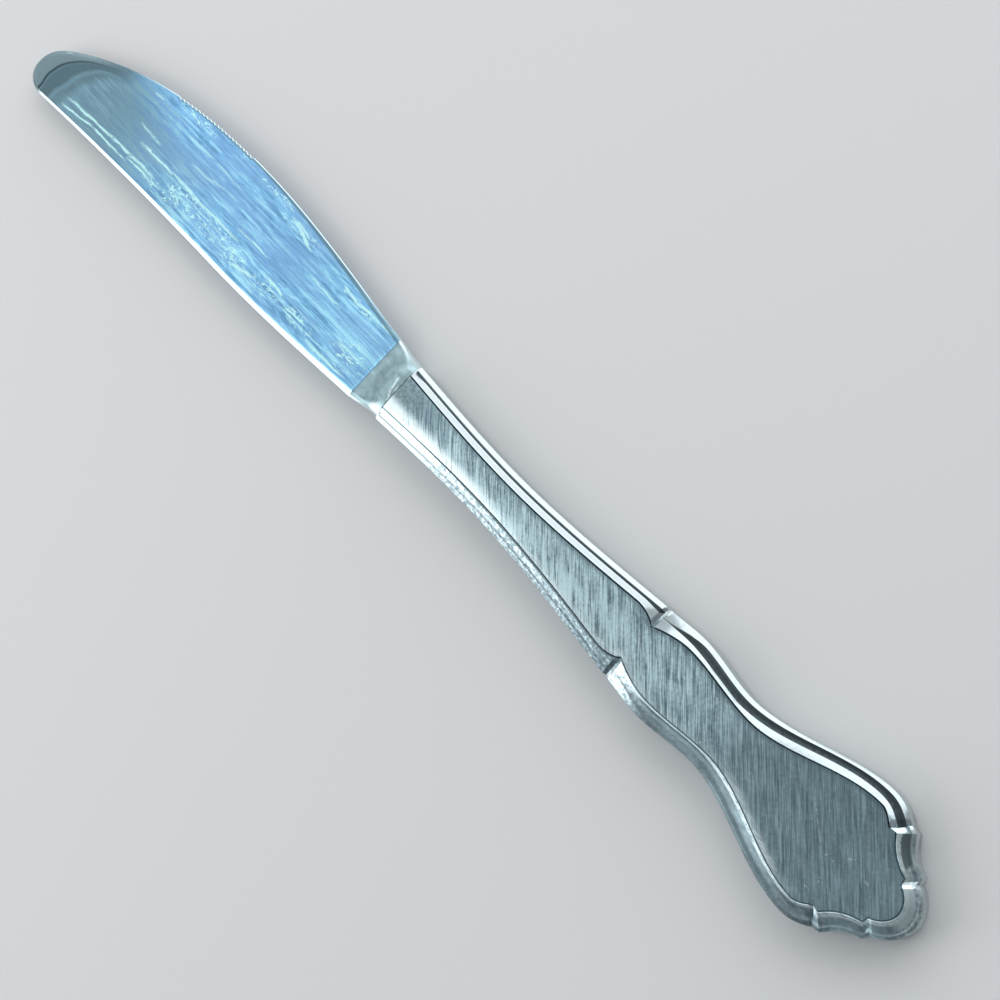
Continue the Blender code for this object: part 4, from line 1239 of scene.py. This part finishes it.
def blade_finish(tones):
    """Blue-grey polished face with lengthwise streaks, a duller tip, scuffs and a satin bolster."""
    f = Finish("blade_steel", "inward")
    x, y, inward = f.x, f.y, f.mark
    fine = f.noise("fine_streaks")
    streak = f.weighed((0.35, f.noise("long_streaks")), (0.35, fine), (0.30, f.noise("wavy_streaks")))
    face = nose_bands(f, tones, polished_face(f, tones, streak))
    face = f.lay(face, tones.tip_grey, f.between(x, 58.0, 88.0, 8.0), f.step(y, -7.0, 1.0), 0.26)
    worn = blade_wear(f)
    face = f.lay(face, tones.scuff_cyan, worn, 0.95)

    # Run-out of the grind behind the cutting edge, a thin white line along the outline, and a painted
    # highlight on the bevel along the spine.
    margin_width = f.node("ShaderNodeMapRange", {0: x, 1: 8.0, 2: 72.0, 3: 1.05, 4: 0.42})
    margin = f.step(f.math("DIVIDE", inward, margin_width), 1.05, 0.85)
    margin = f.product(margin, f.step(x, 84.0, 70.0), f.step(y, 0.0, -1.0))
    face = f.lay(face, scaled(tones.tip_grey, 0.8), margin, 0.8)
    face = f.lay(face, tones.wear_and_highlight_white, f.step(inward, 0.24, 0.08), f.step(x, 92.0, 78.0), 0.85)
    # Painted highlight: white laid over the bevel along the spine.
    bevel_width = f.node("ShaderNodeMapRange", {0: x, 1: 7.4, 2: 102.0, 3: 1.12, 4: 0.60})
    bevel = f.step(f.math("DIVIDE", inward, bevel_width), 1.0, 0.7)
    bevel = f.product(f.step(y, 0.0, 1.0), bevel, f.step(x, 105.0, 102.0))
    face = f.lay(face, tones.wear_and_highlight_white, bevel, 0.9)

    face = f.mix(f.step(x, 7.45, 7.25), face, satin_bolster(f, tones))
    rough = f.math("ADD", f.line(fine, 0.14, 0.20), f.math("MULTIPLY", worn, 0.2))
    f.set(Base_Color=face, Metallic=1.0, Roughness=rough)
    f.bump(streak, 0.12, 0.00004)
    return f.material


# Direction of the panel's brushing, and marks on the front panel in millimetres as above.
BRUSH_ANGLE = math.radians(-136.2)
PANEL_HEIGHT = 3.2
PANEL_STROKES = [
    ((-97.5, -3.6), (-104.4, 1.8), 0.10), ((-59.4, -2.6), (-66.6, 3.9), 0.13),
    ((-55.8, -3.5), (-58.6, 0.9), 0.12), ((-76.6, -3.4), (-77.6, -2.2), 0.18),
    ((-107.5, -0.5), (-108.6, -1.2), 0.18), ((-104.4, 2.4), (-105.2, 0.9), 0.18),
    ((-111.3, 0.0), (-112.4, 0.0), 0.20), ((-106.2, 1.1), (-106.6, 1.7), 0.24),
    ((-106.6, 4.3), (-107.0, 5.2), 0.16), ((-79.5, 3.6), (-80.3, 3.2), 0.20),
    ((-105.5, 6.9), (-107.7, 6.6), 0.18),
]
PANEL_CUTS = [
    ((-11.2, -0.4), (-14.8, 2.2), 0.20), ((-17.5, -1.6), (-21.0, 1.0), 0.13),
    ((-48.5, -1.5), (-53.5, 2.6), 0.12), ((-60.0, -2.2), (-65.5, 3.2), 0.12),
    ((-84.0, -1.5), (-89.0, 3.0), 0.10), ((-33.0, -2.0), (-36.5, 1.2), 0.12),
]
# Half width of the panel along its spine side, how far that side is rubbed bright, and the painted light and
# shade along the rim there.
PANEL_SIDE = [
    (-108.0, 8.5), (-106.0, 9.6), (-103.0, 9.4), (-99.0, 8.5), (-95.0, 7.2), (-91.0, 5.8), (-87.0, 4.6),
    (-83.0, 4.0), (-79.0, 4.2), (-74.0, 4.8), (-69.0, 5.2), (-66.0, 4.9), (-63.0, 4.0), (-61.2, 3.4),
    (-59.0, 4.4), (-56.0, 4.5), (-43.0, 3.3), (-34.0, 2.8), (-25.0, 2.6), (0.0, 3.6),
]
BORDER_WEAR = [
    (-106.0, 0.0), (-102.0, 0.4), (-97.0, 1.0), (-88.0, 0.8), (-82.0, 0.2), (-72.0, 0.2), (-65.0, 0.6),
    (-45.0, 0.6), (-30.0, 0.4), (-20.0, 0.0),
]
RIM_LIGHT_AND_SHADE = [
    (-121.0, 0.0), (-104.0, 0.0), (-98.0, -0.09), (-86.0, -0.07), (-80.0, 0.0), (-70.0, 0.02),
    (-65.0, 0.10), (-61.4, 0.16), (-61.0, -0.07), (-57.0, -0.05), (-48.0, 0.01), (-34.0, 0.05),
    (-20.0, 0.08), (-12.0, 0.14), (0.0, 0.3),
]


def panel_marks(f, marks):
    """Largest of several strokes on the front panel."""
    at = PANEL_HEIGHT
    return f.largest(f.stroke(f.place, (*a, at), (*b, at), width) for a, b, width in marks)


def brushed_panel(f, tones, brush):
    """Oblique brushing, crisp above the notch and rubbed duller towards the butt, with wear and marks,
    painted highlights on the spine's side, and painted shade near the mouth and beside the border on the
    edge's side.
    """
    x, y = f.x, f.y
    speckle = f.noise("shell_speckle")
    dark, grey, white = tones.panel_dark, tones.panel_grey, tones.wear_and_highlight_white
    crisp = f.ramp(brush, (0.44, scaled(dark, 0.75)), (0.485, grey), (0.51, grey), (0.555, tones.panel_light))
    dull = f.ramp(brush, (0.42, scaled(dark, 0.75)), (0.50, scaled(grey, 0.68)), (0.58, grey))
    panel = f.mix(f.step(x, -70.0, -92.0), crisp, dull)
    # Painted shade on the panel near the mouth, away from the spine's side.
    panel = f.lay(panel, dark, f.step(x, -16.0, -3.0), f.step(y, 1.6, -0.6), 0.6)
    satin = tones.bolster_grey
    rubbed_start = f.mix(f.step(speckle, 0.40, 0.62), scaled(satin, 0.6), scaled(satin, 0.95))
    panel = f.lay(panel, rubbed_start, f.step(x, -8.0, -1.5), 0.85)
    # Painted highlights on the spine's side of the crowned panel: light brush lines from the notch up to the
    # neck, and white ones nearer the mouth.
    crown_highlight = f.product(f.step(y, -2.8, 1.6), f.between(x, -60.0, -22.0, 9.0), f.step(brush, 0.41, 0.53))
    panel = f.lay(panel, tones.panel_light, crown_highlight, 0.8)
    polished = f.product(f.step(y, 0.2, 1.8), f.step(x, -36.0, -20.0), f.step(brush, 0.34, 0.50))
    panel = f.lay(panel, white, polished, 0.85)
    half_width = f.curve(x, PANEL_SIDE)
    flecked = f.line(f.step(f.noise("border_flecks"), 0.48, 0.60), 0.5, 0.5)
    to_side = f.math("SUBTRACT", y, half_width)
    panel = f.lay(panel, white, f.step(to_side, -1.7, -0.2), f.curve(x, BORDER_WEAR), flecked)
    # Painted shade on the panel beside its border on the edge's side, below the mouth.
    to_edge = f.math("ADD", y, half_width)
    panel = f.lay(panel, scaled(dark, 0.6), f.step(to_edge, 1.0, 0.1), f.step(x, -8.0, -14.0), 0.6)
    panel = f.lay(panel, tones.line_dark, panel_marks(f, PANEL_CUTS), 0.7)
    nicks = panel_marks(f, PANEL_STROKES)
    return f.lay(panel, white, nicks, f.step(speckle, 0.40, 0.54), 0.42)


def mottled_side(f, tones):
    """Worn rim on the spine's side with painted light and shade along it: grainy above the notch, more even
    below it and on the wall.
    """
    grey = tones.panel_grey
    # Painted light and shade: a curve along the rim lifts the grain towards white near the mouth and darkens
    # it in places further down.
    worn = f.math("ADD", f.noise("rim_grain"), f.curve(f.x, RIM_LIGHT_AND_SHADE))
    mottled = f.ramp(worn, (0.36, scaled(grey, 0.34)), (0.50, scaled(grey, 0.85)), (0.66, tones.wear_and_highlight_white))
    even = f.mix(f.step(f.noise("shell_cloud"), 0.40, 0.60), scaled(grey, 0.42), scaled(grey, 0.8))
    smooth = f.largest((f.step(f.x, -63.0, -72.0), f.step(f.mark, 1.0, 0.6)))
    return f.lay(mottled, even, smooth, 0.75)


def moulded_rim(f, tones, spine_side, dulled_side):
    """Polished rim with tarnish and painted shade in its channel, painted shade in the fine line round the
    panel, and painted highlights and shade on its bands.
    """
    x, y, band = f.x, f.y, f.mark
    speckle = f.noise("shell_speckle")
    cloud = f.noise("shell_cloud")
    grey, white = tones.panel_grey, tones.wear_and_highlight_white
    edge_side = f.step(y, -0.5, -2.5)
    butt = f.step(x, -109.0, -111.0)

    # Ridge and outer band: painted shade on the edge's side and painted dark reflections round the butt's
    # outer band; worn on the spine's side.
    rim = f.lay(tones.rim_steel, grey, f.step(speckle, 0.45, 0.65), 0.35)
    # Painted shade that greys the ridge and the outer band on the edge's side, most above the middle notch.
    ridge = f.product(edge_side, f.between(band, 3.1, 4.9, 0.5), f.step(x, -108.0, -104.0))
    rim = f.lay(rim, tones.rim_painted_shade, ridge, f.line(f.step(x, -62.0, -58.0), 0.4, 0.45))
    on_outer = f.step(band, 2.1, 1.9)
    rim = f.lay(rim, tones.rim_painted_shade, edge_side, on_outer, 0.5)
    # Painted dark reflections in cloudy patches on the outer band round the butt.
    rim = f.lay(rim, scaled(grey, 0.45), f.step(x, -107.0, -110.0), on_outer, f.step(cloud, 0.60, 0.44), 0.7)
    rim = f.lay(rim, mottled_side(f, tones), dulled_side, 0.9)

    # Channel with tarnish and painted shade, dark on the edge's side and pale on the spine's side and round
    # the butt.
    # Painted shade: near the mouth, a dark wedge carries the channel onto the ridge on the edge's side.
    start = f.math("MULTIPLY", f.step(x, -3.4, -0.4), -0.6)
    opened = f.step(f.math("ADD", band, start), 3.1, 2.9)
    opened = f.product(edge_side, f.step(band, 1.95, 2.05), opened)
    channel = f.largest((f.between(band, CHANNEL, RIDGE, 0.06), opened))
    pale = f.largest((spine_side, f.step(x, -109.0, -111.5)))
    near_mouth = f.product(spine_side, f.step(x, -30.0, -14.0), 0.6)
    depth = f.math("SUBTRACT", f.step(pale, 1.6, 0.6), f.math("MULTIPLY", dulled_side, 0.35), clamp=True)
    depth = f.math("SUBTRACT", depth, near_mouth, clamp=True)
    glint = f.product(f.step(band, 2.1, 3.0), f.step(x, -66.0, -72.0), f.step(speckle, 0.36, 0.62))
    tarnish = f.lay(tones.channel_tarnish_and_shade, scaled(grey, 0.42), glint, 0.8)
    rim = f.lay(rim, f.mix(pale, tarnish, tones.channel_grey), channel, depth)

    # Painted shade in the scallop and a painted highlight on the end lobe.
    scallop = f.product(edge_side, f.between(x, -114.6, -110.6, 0.4), f.between(band, 2.2, 4.4, 0.3))
    rim = f.lay(rim, scaled(grey, 0.28), scallop, 0.85)
    lobe = f.product(f.step(x, -115.4, -116.4), f.step(y, 3.0, 0.0), f.step(speckle, 0.40, 0.62))
    rim = f.lay(rim, white, lobe, 0.5)

    # Painted highlight on the lip, and painted shade in the fine line inside it, which is softer on the
    # spine's side and round the butt.
    inner_side = f.largest((f.math("MULTIPLY", spine_side, f.step(x, -63.0, -67.0)), butt))
    flecked = f.step(f.noise("border_flecks"), 0.34, 0.50)
    lit = f.product(inner_side, f.between(band, 4.2, 5.3, 0.2), flecked)
    rim = f.lay(rim, white, lit, 0.8)
    upper_side = f.product(spine_side, f.between(x, -60.0, -20.0, 4.0))
    broad = f.math("ADD", band, f.math("MULTIPLY", upper_side, 0.6))
    line = f.math("MULTIPLY", f.step(broad, 5.05, 5.45), f.step(band, 7.0, 6.6))
    line = f.math("SUBTRACT", line, f.product(spine_side, f.step(x, -16.0, -6.0), 0.75), clamp=True)
    return f.lay(rim, f.mix(inner_side, tones.line_dark, scaled(grey, 0.7)), line, 0.85)


def shell_finish(tones):
    """Brushed panel inside a polished rim with a dull channel and a dark line, and painted highlights and
    shade on the panel and the rim.
    """
    f = Finish("shell_steel", "band")
    turned = f.node("ShaderNodeMapping", {"Vector": f.place, "Rotation": (0.0, 0.0, BRUSH_ANGLE)})
    hair = f.noise("brush_hair", turned)
    wisps = f.noise("brush_wisps", turned)
    speckle = f.noise("shell_speckle")
    brush = f.weighed((0.5, hair), (0.25, wisps), (0.12, f.noise("shell_cloud")), (0.13, speckle))
    spine_side = f.step(f.y, 0.5, 2.5)
    dulled_side = f.math("MULTIPLY", spine_side, f.step(f.x, -4.0, -18.0))
    panel = brushed_panel(f, tones, brush)
    rim = moulded_rim(f, tones, spine_side, dulled_side)
    on_panel = f.step(f.mark, 6.6, 7.0)
    polish = f.math("ADD", f.line(speckle, 0.12, 0.10), f.math("MULTIPLY", dulled_side, 0.22))
    rough = f.node("ShaderNodeMix", {0: on_panel, 2: polish, 3: f.line(brush, 0.20, 0.26)})
    f.set(Base_Color=f.mix(on_panel, rim, panel), Metallic=1.0, Roughness=rough)
    relief = f.math("MULTIPLY", on_panel, brush)
    f.bump(f.math("ADD", relief, f.math("MULTIPLY", speckle, 0.25)), 0.18, 0.00005)
    return f.material


def film_finish(name, tone, shade):
    """Soft bright metal of the braze and the solder, mottled where it was wiped."""
    f = Finish(name)
    mottle = f.noise("film_mottle")
    f.set(Base_Color=f.mix(f.step(mottle, 0.40, 0.62), scaled(tone, shade), tone), Metallic=1.0)
    f.set(Roughness=f.line(mottle, 0.2, 0.22))
    f.bump(mottle, 0.15, 0.00003)
    return f.material


def cement_finish(tones):
    """Dull cast cement with grains."""
    f = Finish("filler_cement")
    grain = f.noise("cement_grain")
    f.set(Base_Color=f.mix(grain, scaled(tones.filler, 0.7), tones.filler), Metallic=0.0)
    f.set(Roughness=f.line(grain, 0.15, 0.78))
    f.bump(grain, 0.4, 0.0001)
    return f.material


def floor_finish(stage):
    """Plain pale floor with the faintest unevenness."""
    f = Finish("pale_floor")
    tone = f.mix(f.noise("floor_cloud"), scaled(stage.floor_colour, 0.97), stage.floor_colour)
    far = f.step(f.vector("LENGTH", f.place, output=1), 300.0, 520.0)
    rays = f.tree.nodes.new("ShaderNodeLightPath").outputs
    seen = f.largest((rays["Is Camera Ray"], rays["Is Glossy Ray"], rays["Is Transmission Ray"]))
    f.set(Base_Color=f.mix(far, tone, (0.0, 0.0, 0.0)), Roughness=0.75)
    f.set(Emission_Color=tone, Emission_Strength=f.product(far, seen, 0.85))
    return f.material


def softbox(name, at, target, sides, brightness):
    """Rectangular soft light that faces a point."""
    bpy.ops.object.select_all(action="DESELECT")
    bpy.ops.object.light_add(type="AREA", location=at)
    lamp = bpy.context.object
    lamp.name = lamp.data.name = name
    lamp.rotation_euler = (Vector(target) - Vector(at)).to_track_quat("-Z", "Y").to_euler()
    lamp.data.shape = "RECTANGLE"
    lamp.data.size, lamp.data.size_y = sides
    lamp.data.energy = brightness * math.pi * sides[0] * sides[1]


class KNIFE_OT_blade(bpy.types.Operator):
    """Forge the blade with its bolster and tang"""

    bl_idname = "knife.blade"
    bl_label = "Blade"

    def execute(self, context):
        scene = context.scene
        obj = forged_blade("ground_blade", BladeForm(scene.knife_blade, scene.knife_handle))
        dress(obj, blade_finish(scene.knife_finish), "blade_steel", "blade")
        return {"FINISHED"}


class KNIFE_OT_shells(bpy.types.Operator):
    """Press the two half shells of the handle"""

    bl_idname = "knife.shells"
    bl_label = "Handle shells"

    def execute(self, context):
        scene = context.scene
        outline = Outline(scene.knife_handle)
        material = shell_finish(scene.knife_finish)
        sides = (("front_shell", "handle_front_shell", 1), ("back_shell", "handle_back_shell", -1))
        for name, node, sign in sides:
            dress(half_shell(name, outline, sign), material, "shell_steel", node)
        return {"FINISHED"}


class KNIFE_OT_films(bpy.types.Operator):
    """Lay the braze along the seam and the solder at the mouth"""

    bl_idname = "knife.films"
    bl_label = "Braze and solder"

    def execute(self, context):
        scene = context.scene
        tones = scene.knife_finish
        outline = Outline(scene.knife_handle)
        seam = seam_film("seam_braze", outline)
        dress(seam, film_finish("seam_braze", tones.braze, 0.75), "braze", "handle_seam_braze")
        ring = solder_ring("mouth_solder", outline, scene.knife_blade)
        dress(ring, film_finish("mouth_solder", tones.solder, 0.8), "solder", "mouth_solder_ring")
        return {"FINISHED"}


class KNIFE_OT_filler(bpy.types.Operator):
    """Give the cast filler its cement"""

    bl_idname = "knife.filler"
    bl_label = "Filler"

    def execute(self, context):
        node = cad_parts["handle_filler"]
        node.data.materials.clear()
        node.data.materials.append(cement_finish(context.scene.knife_finish))
        return {"FINISHED"}


class KNIFE_OT_stage(bpy.types.Operator):
    """Lay the floor, set the camera and hang the softboxes"""

    bl_idname = "knife.stage"
    bl_label = "Stage"

    def execute(self, context):
        stage = context.scene.knife_stage
        self.floor(stage)
        self.camera(context.scene, stage)
        self.world(context.scene, stage)
        for name, (at, target, sides) in SOFTBOXES.items():
            softbox(f"{name}_softbox", at, target, sides, getattr(stage, f"{name}_light"))
        context.scene.view_settings.view_transform = "Standard"
        return {"FINISHED"}

    def floor(self, stage):
        """Pale floor under the knife."""
        bpy.ops.object.select_all(action="DESELECT")
        bpy.ops.mesh.primitive_plane_add(size=stage.floor_size)
        floor = bpy.context.object
        floor.name = "floor"
        floor.data.materials.append(floor_finish(stage))

    def camera(self, scene, stage):
        """Camera at the picture's viewing angle."""
        at = Vector(stage.camera_at)
        ahead = (Vector(stage.camera_target) - at).normalized()
        right = ahead.cross(Vector(stage.camera_up)).normalized()
        turn = Matrix((right, right.cross(ahead), -ahead)).transposed()
        bpy.ops.object.camera_add(location=at, rotation=turn.to_euler())
        camera = bpy.context.object
        camera.name = "camera"
        camera.data.lens = stage.camera_lens
        camera.data.clip_start = NEAREST_SEEN
        scene.camera = camera

    def world(self, scene, stage):
        """Soft room, light beyond the tip and the cutting edge and dark behind the spine."""
        world = bpy.data.worlds.new("soft_room")
        world.use_nodes = True
        tree = world.node_tree
        direction = tree.nodes.new("ShaderNodeTexCoord").outputs["Generated"]
        side = tree.nodes.new("ShaderNodeVectorMath")
        side.operation = "DOT_PRODUCT"
        side.inputs[1].default_value = LIGHT_SIDE
        tree.links.new(direction, side.inputs[0])
        share = tree.nodes.new("ShaderNodeMapRange")
        share.inputs[1].default_value = DARK_END
        tree.links.new(side.outputs["Value"], share.inputs[0])
        ramp = tree.nodes.new("ShaderNodeValToRGB")
        tree.links.new(share.outputs[0], ramp.inputs[0])
        for element, tone in zip(ramp.color_ramp.elements, (stage.room_dark, stage.room_light)):
            element.color = opaque(tone)
        tree.links.new(ramp.outputs[0], tree.nodes["Background"].inputs["Color"])
        scene.world = world


class KNIFE_PT_panel(bpy.types.Panel):
    """Steps and sizes of the knife"""

    bl_idname = "KNIFE_PT_panel"
    bl_label = "Dinner knife"
    bl_space_type = "VIEW_3D"
    bl_region_type = "UI"
    bl_category = "Knife"

    def draw(self, context):
        for step in STEPS:
            self.layout.operator(step.bl_idname)
        for key, group in GROUPS.items():
            box = self.layout.box()
            box.label(text=group.__doc__)
            for name in group.__annotations__:
                box.prop(getattr(context.scene, key), name)


GROUPS = {
    "knife_handle": KnifeHandle,
    "knife_blade": KnifeBlade,
    "knife_finish": KnifeFinish,
    "knife_stage": KnifeStage,
}
STEPS = (KNIFE_OT_blade, KNIFE_OT_shells, KNIFE_OT_films, KNIFE_OT_filler, KNIFE_OT_stage)


def register():
    """Add the classes and the scene's groups of sizes."""
    for entry in (*GROUPS.values(), *STEPS, KNIFE_PT_panel):
        bpy.utils.register_class(entry)
    for key, group in GROUPS.items():
        setattr(bpy.types.Scene, key, PointerProperty(type=group))


def unregister():
    """Take the scene's groups and the classes away again."""
    for key in GROUPS:
        delattr(bpy.types.Scene, key)
    for entry in (KNIFE_PT_panel, *STEPS, *GROUPS.values()):
        bpy.utils.unregister_class(entry)


def main():
    """Build the knife and its stage."""
    register()
    bpy.ops.knife.blade()
    bpy.ops.knife.shells()
    bpy.ops.knife.films()
    bpy.ops.knife.filler()
    bpy.ops.knife.stage()


if __name__ == "__main__":
    main()
